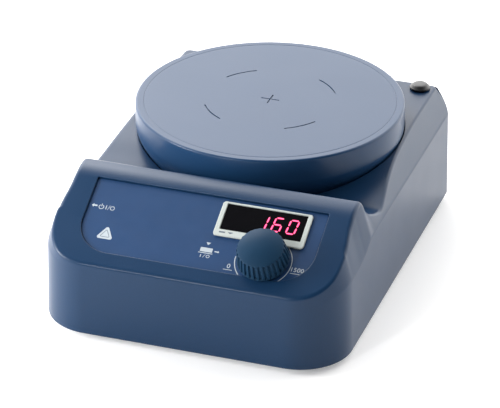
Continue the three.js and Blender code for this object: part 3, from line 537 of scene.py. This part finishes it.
def finish_piece(piece, body, replaced=(), sharp=32):
    """Smooths the shading between nearly level faces, and ties the piece to its body."""
    for polygon in piece.data.polygons:
        polygon.use_smooth = True
    piece.data.set_sharp_from_angle(angle=math.radians(sharp))
    shading = piece.modifiers.new("even_shading", "WEIGHTED_NORMAL")
    shading.keep_sharp = True
    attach(piece, body)
    if replaced:
        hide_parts(*replaced)


# -------- housing surface
CREST_FRONT_Y = CREST_Y - CREST_FRONT_R * math.sin(CONSOLE_SLOPE)
CREST_REAR_Y = CREST_Y + CREST_REAR_R * math.sin(CREST_REAR_SLOPE)
CREST_REAR_Z = CREST_Z - CREST_REAR_R * (1 - math.cos(CREST_REAR_SLOPE))
CREST_FOOT_Y = -34.4
CREST_FOOT_Z = CREST_REAR_Z - (CREST_FOOT_Y - CREST_REAR_Y) * math.tan(CREST_REAR_SLOPE)
# valley and deck behind the crest: points of a smooth curve (y, z)
DECK = [(CREST_FOOT_Y, CREST_FOOT_Z), (-30.2, 53.2), (-25.5, 51.45), (-20.6, 50.75), (-13.5, 52.1),
        (1.6, 55.7), (17.4, 58.3), (38.8, 59.8), (62, 60.5), (110, 60.5)]
# console flank: (y, height of its lower edge, half width at its upper edge)
FLANK = [(-76, 40.8, 70.8), (-66.6, 41, 70.1), (-59, 41.7, 69), (-52, 42.9, 68.7), (-48.5, 44.2, 68.8),
         (-42.5, 46.7, 68.8), (-36, 47.2, 68.9)]


def curve_slopes(points, first):
    """Slope at each point: the given one at the start, and level at the last two."""
    slopes = [first]
    for before, after in zip(points, points[2:]):
        slopes.append((after[1] - before[1]) / (after[0] - before[0]))
    slopes[-1] = 0.0
    slopes.append(0.0)
    return slopes


DECK_SLOPES = curve_slopes(DECK, -math.tan(CREST_REAR_SLOPE))


def mix(a, b, t):
    """The value a share t of the way from a to b."""
    return a + (b - a) * t


def smoothstep(x, low, high):
    """Rises softly from 0 at low to 1 at high."""
    t = min(max((x - low) / (high - low), 0.0), 1.0)
    return t * t * (3 - 2 * t)


def deck_z(y):
    """Height of the smooth curve through the deck's points."""
    i = next(k for k in range(1, len(DECK)) if DECK[k][0] >= y)
    h = DECK[i][0] - DECK[i - 1][0]
    t = (y - DECK[i - 1][0]) / h
    return hermite(DECK[i - 1][1], DECK[i][1], DECK_SLOPES[i - 1] * h, DECK_SLOPES[i] * h, t)


def top_z(y):
    """Height of the housing's upper surface; it is the same across the whole width."""
    if y <= CREST_FRONT_Y:
        return CONSOLE_Z + (y + HALF_D) * math.tan(CONSOLE_SLOPE)
    if y <= CREST_Y:
        return CREST_Z - CREST_FRONT_R + math.sqrt(CREST_FRONT_R**2 - (y - CREST_Y)**2)
    if y <= CREST_REAR_Y:
        return CREST_Z - CREST_REAR_R + math.sqrt(CREST_REAR_R**2 - (y - CREST_Y)**2)
    if y <= CREST_FOOT_Y:
        return CREST_REAR_Z - (y - CREST_REAR_Y) * math.tan(CREST_REAR_SLOPE)
    return deck_z(y)


def inner_z(y, t):
    """The upper surface moved inwards by t, for the hollow."""
    if t == 0:
        return top_z(y)
    offsets = [t * k / 12 for k in range(-12, 13)]
    return min(top_z(y + d) - math.sqrt(max(0.0, t * t - d * d)) for d in offsets)


def flank(y):
    """Height of the console flank's lower edge, and the half width at its upper edge."""
    y = min(max(y, FLANK[0][0]), FLANK[-1][0])
    i = next(k for k in range(1, len(FLANK)) if FLANK[k][0] >= y)
    a, b = FLANK[i - 1], FLANK[i]
    t = (y - a[0]) / (b[0] - a[0])
    return mix(a[1], b[1], t), mix(a[2], b[2], t)


def hermite(a, b, slope_a, slope_b, t):
    """Place at t on the smooth curve from a to b that starts and ends with these slopes."""
    start = a * (2 * t**3 - 3 * t**2 + 1) + slope_a * (t**3 - 2 * t**2 + t)
    return start + (b * (3 * t**2 - 2 * t**3) + slope_b * (t**3 - t**2))


def bezier(a, b, c, steps):
    """Points on the curve from a to c that b pulls, without a itself."""
    points = []
    for i in range(1, steps + 1):
        t = i / steps
        points.append(a * (1 - t)**2 + b * 2 * t * (1 - t) + c * t**2)
    return points


def wall_inset(z):
    """How far the wall leans in at this height."""
    return (z - BOTTOM) * DRAFT


def wall_line(t, z_bottom, base, direction, lower_z, corner, rounding, fine):
    """One line up the wall: lower edge, wall, soft crease, flank, rounded rim, start of the top."""
    def at(z):
        return Vector((base[0] - direction[0] * wall_inset(z), base[1] - direction[1] * wall_inset(z), z))

    crease = at(lower_z)
    rim = Vector(corner)
    flank_way = crease - rim
    length = flank_way.length
    start = rim + flank_way * min(0.85, rounding / length)
    end_y = rim.y - direction[1] * rounding
    end = Vector((rim.x - direction[0] * rounding, end_y, inner_z(end_y, t)))
    softness = min(CREASE_SOFTNESS, (crease - start).length * 0.45) if fine else 0.2
    below = at(lower_z - softness)
    above = crease - flank_way.normalized() * softness
    line = [at(z_bottom)]
    if fine:
        edge = line[0] - Vector((direction[0], direction[1], 0)) * FOOT_ROUNDING
        line = [edge] + bezier(edge, line[0], at(z_bottom + FOOT_ROUNDING), 3)
        line.append(at(mix(z_bottom, below.z, 0.5)))
    line += [below] + bezier(below, crease, above, 4 if fine else 1)
    line += [above.lerp(start, 0.5), start] + bezier(start, rim, end, 7 if fine else 2)
    return line


def front_corner_lines(t, z_bottom, steps, fine):
    """Lines round the front corner, from the middle of the front to the side."""
    lines = []
    half_w, half_d, radius = HALF_W - t, HALF_D - t, FRONT_R - t
    drop = HOLLOW_DROP if t else 0
    centre = (half_w - radius, -half_d + radius)
    for i in range(steps + 1):
        u = i / steps
        a = math.pi / 2 * (u - 1)
        direction = (math.cos(a), math.sin(a))
        ease = smoothstep(u, 0.3, 1.0)
        reach = radius - mix(FRONT_RIM_INSET, SIDE_RIM_INSET, ease) - (HOLLOW_INSET * ease if t else 0)
        corner = (centre[0] + reach * direction[0], centre[1] + reach * direction[1])
        corner = (*corner, inner_z(corner[1], t))
        lower = mix(min(FRONT_CREASE_Z, corner[2] - FRONT_CREASE_DROP), FLANK[0][1] - drop, ease)
        base = (centre[0] + radius * direction[0], centre[1] + radius * direction[1])
        rounding = mix(FRONT_RIM_ROUNDING, CORNER_RIM_ROUNDING, ease)
        lines.append(wall_line(t, z_bottom, base, direction, lower, corner, rounding, fine))
    return lines


def side_lines(t, z_bottom, places, fine):
    """Lines along the side, one at each place: the console's flank first, then the deck's chamfer."""
    lines = []
    half_w = HALF_W - t
    for y in places:
        top = inner_z(y, t)
        flank_z, flank_x = flank(y)
        behind = smoothstep(y, CHAMFER_START_Y, CHAMFER_FULL_Y)
        z = mix(flank_z, SHOULDER_Z, behind) - (HOLLOW_DROP if t else 0)
        wall_x = half_w - wall_inset(z)
        chamfer_x = wall_x - (top - z) / CHAMFER_SLOPE
        console_x = max(flank_x - t - (HOLLOW_INSET if t else 0), wall_x - (top - z) / 2)
        corner = (mix(console_x, chamfer_x, behind), y, top)
        rounding = mix(CONSOLE_RIM_ROUNDING, DECK_RIM_ROUNDING, behind)
        lines.append(wall_line(t, z_bottom, (half_w, y), (1, 0), min(z, top - 0.6), corner, rounding, fine))
    return lines


def rear_corner_lines(t, z_bottom, steps, fine):
    """Lines round the rear corner's turn, then along the rear wall under the end of the chamfer."""
    lines = []
    half_w, half_d, radius = HALF_W - t, HALF_D - t, REAR_R - t
    centre = (half_w - radius, half_d - radius)
    top = inner_z(centre[1], t)
    shoulder = SHOULDER_Z - (HOLLOW_DROP if t else 0)
    rim_x = half_w - wall_inset(shoulder) - (top - shoulder) / CHAMFER_SLOPE
    rim_r = max(1.0, DECK_CORNER_R - t)
    rim_y = centre[1] + radius - wall_inset(top) - rim_r
    turning = steps * 5 / 8
    for i in range(1, steps + 1):
        a = math.pi / 2 * min(1.0, i / turning)
        direction = (math.cos(a), math.sin(a))
        along = max(0.0, i - turning) / (steps - turning)
        turn_x = centre[0] - along * (centre[0] - rim_x)
        lower = shoulder
        for _ in range(4):
            x = turn_x + (radius - wall_inset(lower)) * direction[0]
            lower = min(shoulder + (half_w - wall_inset(shoulder) - x) * CHAMFER_SLOPE, top - 0.9)
        rim_a = math.pi / 2 * i / steps
        corner = (rim_x - rim_r + rim_r * math.cos(rim_a), rim_y + rim_r * math.sin(rim_a), top)
        base = (turn_x + radius * direction[0], centre[1] + radius * direction[1])
        lines.append(wall_line(t, z_bottom, base, direction, lower, corner, DECK_RIM_ROUNDING, fine))
    return lines


def stations(spacing):
    """Places along the side, closer together where the top surface bends."""
    y = -HALF_D + FRONT_R + 1.2
    places = []
    while y < HALF_D - REAR_R - 0.5:
        places.append(y)
        bend = abs(top_z(y + 1) + top_z(y - 1) - 2 * top_z(y))
        y += spacing / (1 + 14 * bend) if y > -60 else spacing
    return places


def housing_body(t, z_bottom, spacing, corner_steps, fine):
    """Closed skin of lines up the right half and their mirror: the outer shape, or with t the hollow's."""
    lines = front_corner_lines(t, z_bottom, corner_steps, fine)
    lines += side_lines(t, z_bottom, stations(spacing), fine)
    lines += rear_corner_lines(t, z_bottom, 24 if fine else 8, fine)
    rings = []
    for right in zip(*lines):
        rings.append([*right, *(Vector((-p.x, p.y, p.z)) for p in reversed(right))])
    body = Solid().rings(rings, cap_low=False, cap_high=False)
    per_ring = 2 * len(lines)
    for start in (0, (len(rings) - 1) * per_ring):
        end = start + per_ring - 1
        for i in range(len(lines) - 1):
            body.faces.append((start + i, start + i + 1, end - i - 1, end - i))
    return body


def well_profile(grow, floor):
    """The plate's skirt grown outwards and a little lower, from the floor up to above the deck."""
    wall = [(r + grow, z - 0.3) for r, z in SKIRT if z - 0.3 > floor]
    return [(0, floor), (wall[0][0] - 0.3, floor)] + wall + [(PLATE_R + grow, 75), (0, 75)]


def console_pad(outline, low, high, flare):
    """Cutter in the console frame whose mouth opens out by flare at the console's surface."""
    surface = (CONSOLE_Z - LABEL_Z) * math.cos(CONSOLE_SLOPE)
    rings = [[(x, y, low) for x, y in outline(0.0)]]
    for i in range(5):
        a = math.pi / 2 * i / 4
        z = surface - flare * (1 - math.sin(a))
        rings.append([(x, y, z) for x, y in outline(-flare * (1 - math.cos(a)))])
    rings.append([(x, y, high) for x, y in outline(-flare)])
    return Solid().rings(rings).moved(CONSOLE)


def around_window(margin, upper_margin, corner, steps):
    """Outline function of a rounded rectangle that stands off the read-out window on every side."""
    x0, x1, s0, s1 = WINDOW_BOX
    return rounded_rect(x0 - margin, x1 + margin, s0 - margin, s1 + upper_margin, [corner] * 4, steps)


READOUT_HOLE = around_window(1.2, 0.8, 0.5, 3)


def label_outline(inset):
    """The label's outline: its lower corners are large arcs, its upper ones small."""
    corners = [LABEL_CORNER, 0.8, 0.8, LABEL_CORNER]
    return rounded_rect(-LABEL_HALF_W, LABEL_HALF_W, LABEL_S0, LABEL_S1, corners, 24)(inset)


def around(centre, half):
    return centre - half, centre + half


def housing_fittings():
    """What stays solid inside the hollow: well cup, rod sleeve, screw bosses, pads behind fittings."""
    cup = well_profile(WELL_GAP + WELL_WALL, WELL_FLOOR - WELL_FLOOR_T)
    parts = [
        Solid().revolve(cup, PLATE_CENTRE[:2], 96),
        cylinder(ROD_SLEEVE_R, PLATE_TOP - 43, 61, ROD_CENTRE[:2]),
        Solid().box(-HALF_W - 1, -67.6, *around(SWITCH.y, SWITCH_PAD[0]), *around(SWITCH.z, SWITCH_PAD[1])),
        Solid().box(*around(INLET.x, INLET_PAD[0]), 91.6, HALF_D + 1, *around(INLET.z, INLET_PAD[1])),
    ]
    for foot in FEET.values():
        parts.append(cylinder(FOOT_BOSS_R, 5.1, 62 if foot.y > 0 else 24, foot[:2], 32))
    for spot in PANEL_PADS:
        parts.append(cylinder(PANEL_PAD_R, -8.9, -0.8, spot, 32).moved(CONSOLE))
    return parts


def housing_cutters():
    """What is cut out of the shell: well, rod hole, label recess, openings and screw holes."""
    switch = (*around(SWITCH.y, SWITCH_RECESS[0]), *around(SWITCH.z, SWITCH_RECESS[1]))
    inlet = (*around(INLET.x, INLET_RECESS[0]), *around(INLET.z, INLET_RECESS[1]))
    parts = [
        Solid().revolve(well_profile(WELL_GAP, WELL_FLOOR), PLATE_CENTRE[:2], 256),
        cylinder(WELL_HOLE_R, 40, 55, PLATE_CENTRE[:2], 96),
        cylinder(ROD_HOLE_R, 61 - ROD_DEPTH, 70, ROD_CENTRE[:2], 64),
        console_pad(label_outline, -RECESS_DEPTH, 12, 0.45),
        Solid().prism(READOUT_HOLE, -6, 2).moved(CONSOLE),
        cylinder(KNOB_HOLE_R, -6, 2).moved(KNOB_FRAME),
        Solid().prism(rounded_rect(*switch, [1.8] * 4, 6), -78, -70.1).moved(LEFT_WALL),
        Solid().box(-78, -60, *around(SWITCH.y, SWITCH_OPENING[0]), *around(SWITCH.z, SWITCH_OPENING[1])),
        Solid().prism(rounded_rect(*inlet, [2.4] * 4, 6), 94.6, 100).moved(REAR_WALL),
        Solid().box(*around(INLET.x, INLET_OPENING[0]), 85, 100, *around(INLET.z, INLET_OPENING[1])),
    ]
    for foot in FEET.values():
        parts.append(cylinder(FOOT_SCREW_R, 4, 17, foot[:2], 24))
    for spot in PANEL_SCREWS:
        parts.append(cylinder(PANEL_SCREW_R, -10, -2.6, spot, 24).moved(CONSOLE))
    for spot in POST_SPOTS:
        parts.append(cylinder(POST_SCREW_R, 44, 52, spot, 32))
    return parts


def build_housing():
    hollow = housing_body(WALL, BOTTOM - 4, 4.0, 6, fine=False).object("hollow")
    cut(hollow, [part.object("fitting") for part in housing_fittings()])
    shell = housing_body(0, BOTTOM, 1.6, 32, fine=True).object("housing_shell", PAINT)
    cut(shell, [hollow])
    cut(shell, [part.object("cutter") for part in housing_cutters()])
    finish_piece(shell, "chassis", ["upper_housing"])


build_housing()


# -------- work plate
def plate_profile():
    """Flat top with one fine line inside its edge, crisply rounded rim, tapered skirt, hollow underside."""
    top = PLATE_TOP
    face = [(0, top), (30, top), (60, top), (PLATE_LINE_R - 0.15, top)]
    line = [(PLATE_LINE_R, top - 0.03), (PLATE_LINE_R + 0.08, top - 0.12), (PLATE_LINE_R + 0.2, top - 0.12)]
    line += [(PLATE_LINE_R + 0.28, top - 0.03), (PLATE_LINE_R + 0.4, top), (PLATE_LINE_R + 2.9, top)]
    rim = arc_points((PLATE_R - 1.1, top - 1.1), 1.1, 90, 0, 8) + [(PLATE_R, top - 2.0), (PLATE_R, 64.0)]
    under = [(58.6, SKIRT[0][1]), (60.6, 54.8), (62.4, 59.4), (62.8, 66.5), (60, 69), (0, 69)]
    return face + line + rim + skirt_curve() + under


def skirt_curve():
    """The skirt's section, downwards, as a smooth curve through its points."""
    points = [Vector(p) for p in reversed(SKIRT)]
    ends = [points[0] + Vector((0, 2.4))] + points + [points[-1] * 2 - points[-2]]
    curve = [tuple(points[0])]
    for before, a, b, after in zip(ends, ends[1:], ends[2:], ends[3:]):
        for k in range(1, 5):
            curve.append(tuple(hermite(a, b, (b - before) / 2, (after - a) / 2, k / 4)))
    return curve


def mark_cutters():
    """Cutters for the engraved cross and the four arcs round it."""
    low, high = PLATE_TOP - MARK_DEPTH, PLATE_TOP + 1
    half = MARK_WIDTH / 2
    x, y = PLATE_CENTRE[:2]
    cutters = [Solid().box(x - CROSS_ARM, x + CROSS_ARM, y - half, y + half, low, high)]
    cutters.append(Solid().box(x - half, x + half, y - CROSS_ARM, y + CROSS_ARM, low, high))
    for middle in (45, 135, 225, 315):
        start, end = middle - MARK_HALF_ARC, middle + MARK_HALF_ARC
        outer = arc_points((x, y), MARK_R + half, start, end, 20)
        inner = arc_points((x, y), MARK_R - half, end, start, 20)
        cutters.append(plate_of(outer + inner, low, high))
    return cutters


def build_plate():
    plate = Solid().revolve(plate_profile(), PLATE_CENTRE[:2], 256).object("plate_disc", PLATE_COAT_PAINTED_SHEEN)
    post = [(0, 63), (2, 63), (2, 50.4), (4, 50.4), (4, 69.5), (0, 69.5)]
    cut(plate, [Solid().revolve(post, spot, 32).object("post") for spot in POST_SPOTS], "UNION")
    cut(plate, [part.object("mark") for part in mark_cutters()])
    finish_piece(plate, "chassis", ["work_plate"], sharp=28)


build_plate()


# -------- control panel
def build_label():
    film = Solid().prism(lambda inset: label_outline(inset + LABEL_GAP), -0.5, 0, 0.12)
    film = film.moved(CONSOLE).object("panel_film", LABEL_FILM)
    readout = Solid().prism(READOUT_HOLE, -2, 2).moved(CONSOLE)
    knob = cylinder(KNOB_HOLE_R, -2, 2).moved(KNOB_FRAME)
    cut(film, [readout.object("hole"), knob.object("hole")])
    finish_piece(film, "chassis", ["control_label"])


def build_bezel():
    outer = rounded_rect(*BEZEL_BOX, [1.5] * 4, 8)
    foot = around_window(0.9, 0.5, 0.4, 3)
    opening = rounded_rect(*WINDOW_BOX, [0.3] * 4, 4)
    bezel = Solid().prism(outer, 0.25, BEZEL_TOP, 0.35).moved(CONSOLE)
    bezel = bezel.object("readout_frame", BEZEL_PLASTIC)
    cut(bezel, [Solid().prism(foot, -3.2, 0.6).moved(CONSOLE).object("foot")], "UNION")
    levels = ((-5, 0), (BEZEL_TOP - 0.3, 0), (BEZEL_TOP, -0.22), (3, -0.22))
    mouth = [[(x, y, z) for x, y in opening(inset)] for z, inset in levels]
    cut(bezel, [Solid().rings(mouth).moved(CONSOLE).object("opening")])
    finish_piece(bezel, "chassis", ["display_bezel"])


def build_window():
    lens = Solid().prism(around_window(-0.1, -0.1, 0.3, 4), -0.6, WINDOW_TOP, 0.15)
    lens = lens.moved(CONSOLE).object("readout_lens", WINDOW_LENS)
    finish_piece(lens, "chassis", ["display_window"])


def stroke(points, width):
    """Outline of a constant-width stroke along a chain of points."""
    left, right = [], []
    for i, point in enumerate(points):
        before = Vector(points[max(i - 1, 0)])
        after = Vector(points[min(i + 1, len(points) - 1)])
        way = (after - before).normalized()
        side = Vector((-way.y, way.x)) * width / 2
        left.append(tuple(Vector(point) + side))
        right.append(tuple(Vector(point) - side))
    return right + left[::-1]


def bar(x0, x1, s0, s1):
    return [(x0, s0), (x1, s0), (x1, s1), (x0, s1)]


def circle(x, y, radius, start=0, end=360, steps=28):
    return arc_points((x, y), radius, start, end, steps)


def arrow(tip_x, tail_x, s, head, shaft):
    way = 1 if tip_x > tail_x else -1
    neck = tip_x - way * head * 1.1
    return [(tip_x, s), (neck, s + head), (neck, s + shaft), (tail_x, s + shaft),
            (tail_x, s - shaft), (neck, s - shaft), (neck, s - head)]


def rounded_triangle(x, s, size, radius):
    points = []
    for toward in (90, 210, 330):
        a = math.radians(toward)
        centre = (x + (size - radius) * math.cos(a), s + (size - radius) * math.sin(a))
        points += circle(*centre, radius, toward - 60, toward + 60, 6)
    return points


def panel_outlines():
    """White marks on the panel: pictograms in place of words, and the dial's end arcs."""
    return [
        arrow(-55.6, -52.8, 35.0, 1.0, 0.42),
        stroke(circle(-50.7, 34.7, 1.15, 125, 415), 0.36),
        stroke([(-50.7, 34.9), (-50.7, 36.4)], 0.36),
        stroke([(-48.3, 33.6), (-48.3, 35.9)], 0.36),
        stroke([(-47.4, 33.5), (-46.6, 36.0)], 0.24),
        stroke(circle(-45.2, 34.7, 1.0), 0.34),
        bar(2.9, 8.8, 19.6, 21.9),
        bar(2.3, 9.3, 18.75, 19.15),
        arrow(12.2, 9.9, 20.5, 0.65, 0.28),
        [(4.7, 24.9), (7.0, 24.9), (5.85, 23.4)],
        stroke([(4.0, 16.5), (4.0, 18.1)], 0.34),
        stroke([(5.2, 16.4), (6.1, 18.2)], 0.22),
        stroke(circle(7.5, 17.3, 0.75), 0.3),
        bar(16.6, 20.9, 11.9, 12.2),
        bar(47.9, 52.4, 15.6, 15.9),
        stroke(circle(DIAL_X - 0.2, DIAL_S - 0.1, 13.4, 179, 224), 0.42),
        stroke(circle(DIAL_X - 0.2, DIAL_S - 0.1, 13.4, -44, 46), 0.36),
    ]


def build_print():
    marks = Solid()
    for outline in panel_outlines():
        marks.join(plate_of(outline, 0.0, PRINT_T))
    marks.join(plate_of(rounded_triangle(-43.9, 20.0, 4.1, 0.9), 0.0, PRINT_T))
    finish_piece(marks.moved(CONSOLE).object("panel_marks", PRINT), "chassis")
    inner = rounded_triangle(-43.9, 20.0, 2.4, 0.35)
    dark = plate_of(stroke(inner + inner[:1], 0.3), PRINT_T, 0.06)
    dark.join(plate_of(bar(9.0, 12.0, 30.7, 31.5), BEZEL_TOP, BEZEL_TOP + 0.03))
    dark.join(plate_of([(13.1, 31.6), (15.9, 31.6), (14.5, 30.6)], BEZEL_TOP, BEZEL_TOP + 0.03))
    finish_piece(dark.moved(CONSOLE).object("frame_marks", PRINT_DARK), "chassis")


def build_number(name, text, x, s, height):
    """A number on the dial, in Blender's own plain letter shapes, as a thin solid."""
    curve = bpy.data.curves.new(name, "FONT")
    curve.body = text
    curve.size = height * 1.37
    curve.align_x = "CENTER"
    curve.extrude = 0.02
    curve.offset = 0.02
    curve.space_character = 1.05
    letters = bpy.data.objects.new(name + "_curve", curve)
    SCENE.collection.objects.link(letters)
    mesh = baked(letters)
    bpy.data.objects.remove(letters)
    mesh.transform(Matrix.Scale(MM, 4) @ CONSOLE @ Matrix.Translation((x, s, 0.02)))
    mesh.materials.clear()
    mesh.materials.append(PRINT)
    piece = bpy.data.objects.new(name, mesh)
    SCENE.collection.objects.link(piece)
    finish_piece(piece, "chassis")


SEGMENTS = {
    "a": ((-1, 1), (1, 1)), "b": ((1, 1), (1, 0)), "c": ((1, 0), (1, -1)), "d": ((-1, -1), (1, -1)),
    "e": ((-1, 0), (-1, -1)), "f": ((-1, 1), (-1, 0)), "g": ((-1, 0), (1, 0)),
}
DIGITS = {"1": "bc", "6": "acdefg", "0": "abcdef"}
DIGIT_HALF_W = 1.98
DIGIT_HALF_H = 3.75
DIGIT_S = 40.1
DIGIT_SLANT = math.tan(math.radians(6.5))


def segment_bar(start, end, width):
    """Bar with pointed ends between two grid points of a digit, a little short of each."""
    a = Vector((start[0] * DIGIT_HALF_W, start[1] * DIGIT_HALF_H))
    b = Vector((end[0] * DIGIT_HALF_W, end[1] * DIGIT_HALF_H))
    way = (b - a).normalized()
    side = Vector((-way.y, way.x)) * width / 2
    a, b = a + way * 0.3, b - way * 0.3
    inward = way * width / 2
    return [a, a + inward - side, b - inward - side, b, b - inward + side, a + inward + side]


def build_readout():
    """Three lit digits on the window, each segment with a paler line along its middle."""
    lit, core = Solid(), Solid()
    layers = ((lit, 0.84, WINDOW_TOP, 0.63), (core, 0.30, 0.63, 0.65))
    for digit, x in (("1", 27.7), ("6", 34.9), ("0", 42.2)):
        for name in DIGITS[digit]:
            for solid, width, low, high in layers:
                points = segment_bar(*SEGMENTS[name], width)
                outline = [(x + p.x + p.y * DIGIT_SLANT, DIGIT_S + p.y) for p in points]
                solid.join(plate_of(outline, low, high))
    finish_piece(lit.moved(CONSOLE).object("readout_digits", LED_GLOW), "chassis")
    finish_piece(core.moved(CONSOLE).object("readout_digit_cores", LED_CORE), "chassis")


build_label()
build_bezel()
build_window()
build_print()
build_number("dial_low_number", "0", 18.7, 12.95, 2.5)
build_number("dial_high_number", "1500", 50.7, 16.8, 2.35)
build_readout()


# -------- knob
KNOB_FLUTES = 30
KNOB_BOTTOM = 1.75
FLUTE_TOP = 11.3
FLUTE_DEPTH = 0.95
SHOULDER_CENTRE = 9.98  # radius at which the rounded shoulder is centred
CAP_R = 27.0  # radius of the domed cap


def flute_depth(turn, height):
    """Depth of the grip slots: narrow, run out under the dome, and closed at the foot."""
    phase = (turn * KNOB_FLUTES) % 1.0
    across = 1 - smoothstep(abs(phase - 0.5), 0.14, 0.27)
    along = smoothstep(height, KNOB_BOTTOM + 0.6, KNOB_BOTTOM + 1.1)
    along *= 1 - smoothstep(height, FLUTE_TOP - 1.2, FLUTE_TOP)
    return FLUTE_DEPTH * across * along


def knob_levels():
    """Height and plain radius from foot to crown: conical grip, rounded shoulder, domed cap."""
    foot = [(0, 12.0), (0.1, 12.2), (0.3, 12.25), (0.6, 12.24), (1.1, 12.2)]
    levels = [(KNOB_BOTTOM + rise, r) for rise, r in foot]
    levels += [(4.5, 12.05), (6.5, 11.8), (8.2, 11.55), (9.4, 11.36), (9.9, 11.28)]
    shoulder = arc_points((SHOULDER_CENTRE, 10.1), 1.25, 8, 68, 8)
    levels += [(z, r) for r, z in shoulder]
    edge_r, edge_z = shoulder[-1]
    for i in range(1, 15):
        r = edge_r * (1 - i / 15)
        drop = CAP_R - math.sqrt(CAP_R**2 - r**2)
        edge_drop = CAP_R - math.sqrt(CAP_R**2 - edge_r**2)
        levels.append((edge_z + edge_drop - drop, r))
    return levels


def build_knob():
    samples = KNOB_FLUTES * 12
    rings = []
    for height, radius in knob_levels():
        ring = []
        for i in range(samples):
            a = 2 * math.pi * i / samples
            r = radius - flute_depth(i / samples, height)
            ring.append((r * math.cos(a), r * math.sin(a), height))
        rings.append(ring)
    knob = Solid().rings(rings).moved(KNOB_FRAME).object("speed_knob", KNOB_PLASTIC)
    hollows = [cylinder(9.6, 0, 5), cylinder(3.1, 0, 10)]
    cut(knob, [hollow.moved(KNOB_FRAME).object("hollow") for hollow in hollows])
    finish_piece(knob, "knob", ["knob"], sharp=40)


build_knob()


# -------- plug and feet
def build_plug():
    rim = arc_points((4.6, 61.4), 0.6, -90, 60, 6)
    crown = [(4.3, 62.35), (3.9, 62.9), (3.4, 63.2), (2.4, 63.3), (0, 63.3)]
    profile = [(0, 52), (3.5, 52), (4.0, 52.8), (4.0, 60.8)] + rim + crown
    plug = Solid().revolve(profile, ROD_CENTRE[:2], 64).object("rod_plug", RUBBER)
    finish_piece(plug, "rod_plug", ["rod_hole_plug"])


def build_foot(name, centre):
    profile = [(2.1, 1.7), (3.9, 1.7), (3.9, 0.3), (4.2, 0)]
    profile += arc_points((7.5, 0.7), 0.7, -90, 0, 4) + [(8.2, 3.0), (2.1, 3.0)]
    foot = Solid().revolve(profile, centre[:2], 64).object("pad_" + name, RUBBER)
    finish_piece(foot, "chassis", [name])


build_plug()
for foot_name, foot_centre in FEET.items():
    build_foot(foot_name, foot_centre)


# -------- floor, light and camera
FLOOR_HALF = 12000
SKY_BAND = (0.74, 1.00)  # sine of the elevation over which the bright wall ends
SKY_REAR = (-0.1, 0.6, 0.0, 3.45)  # a span of the direction's y, and the brightness at its two ends
SKY_SIDE = (-0.9, 0.1, 1.7, 0.0)  # the same for its x
SKY_TOP = 0.15
CAMERA_PLACE = (0.4234, -1.2638, 0.7471)
CAMERA_FORWARD = (-0.2796, 0.8353, -0.4734)
CAMERA_UP = (-0.1535, 0.4479, 0.8808)


def build_floor():
    corners = [(x * FLOOR_HALF, y * FLOOR_HALF, 0) for x, y in ((-1, -1), (1, -1), (1, 1), (-1, 1))]
    floor = Solid().rings([corners], cap_low=False).object("floor")
    surface = Surface("floor_pale", (0.90, 0.90, 0.90), 0.7)
    surface.set(Emission_Color=(1, 1, 1, 1), Emission_Strength=0.24)
    floor.data.materials.append(surface.done())


def build_world():
    """Studio light from far off: bright behind the object and on its left, faint overhead."""
    world = bpy.data.worlds.new("studio")
    world.use_nodes = True
    tree = world.node_tree
    background = tree.nodes["Background"]
    coordinates = tree.nodes.new("ShaderNodeTexCoord")
    split = tree.nodes.new("ShaderNodeSeparateXYZ")
    tree.links.new(coordinates.outputs["Generated"], split.inputs["Vector"])

    def combine(operation, first, second):
        node = tree.nodes.new("ShaderNodeMath")
        node.operation = operation
        tree.links.new(first, node.inputs[0])
        tree.links.new(second, node.inputs[1])
        return node.outputs["Value"]

    height = smooth_ramp(tree, split.outputs["Z"], *SKY_BAND, 1.0, 0.0)
    rear = smooth_ramp(tree, split.outputs["Y"], *SKY_REAR)
    side = smooth_ramp(tree, split.outputs["X"], *SKY_SIDE)
    low = combine("MULTIPLY", height, combine("ADD", rear, side))
    top = smooth_ramp(tree, split.outputs["Z"], 0.5, 1.0, 0.0, SKY_TOP)
    tree.links.new(combine("ADD", low, top), background.inputs["Strength"])
    fill(background, {"Color": (1.0, 0.99, 0.98, 1.0)})
    SCENE.world = world


def area_light(name, location, target, size, power):
    """A lamp panel at a place in metres, turned to a target, and not seen by the camera itself."""
    light = bpy.data.lights.new(name, "AREA")
    light.shape = "RECTANGLE"
    light.size, light.size_y = size
    light.energy = power
    lamp = bpy.data.objects.new(name, light)
    lamp.location = location
    lamp.rotation_euler = (Vector(target) - Vector(location)).to_track_quat("-Z", "Y").to_euler()
    lamp.visible_camera = False
    SCENE.collection.objects.link(lamp)


def build_camera():
    camera = bpy.data.cameras.new("camera")
    camera.lens = 223.7
    camera.sensor_width = 36.0
    camera.clip_end = 50.0
    holder = bpy.data.objects.new("camera", camera)
    forward = Vector(CAMERA_FORWARD).normalized()
    right = forward.cross(Vector(CAMERA_UP)).normalized()
    up = right.cross(forward)
    turn = Matrix((right, up, -forward)).transposed().to_4x4()
    holder.matrix_world = Matrix.Translation(CAMERA_PLACE) @ turn
    SCENE.collection.objects.link(holder)
    SCENE.camera = holder


build_floor()
build_world()
area_light("key", (-1.3, -0.5, 0.6), (0, 0, 0.05), (0.8, 0.8), 7)
area_light("softbox", (-0.34, 0.32, 0.52), (0, 0, 0.05), (0.3, 0.3), 1.8)
area_light("side", (-0.30, -0.20, 0.12), (-0.03, -0.08, 0.03), (0.12, 0.12), 0.9)
area_light("low rear", (0.75, 1.15, 0.15), (0, 0, 0.05), (0.7, 0.3), 1.6)
area_light("front", (-0.27, -0.85, 0.50), (0, -0.08, 0.04), (0.08, 0.08), 2.2)
build_camera()
SCENE.view_settings.view_transform = "Standard"
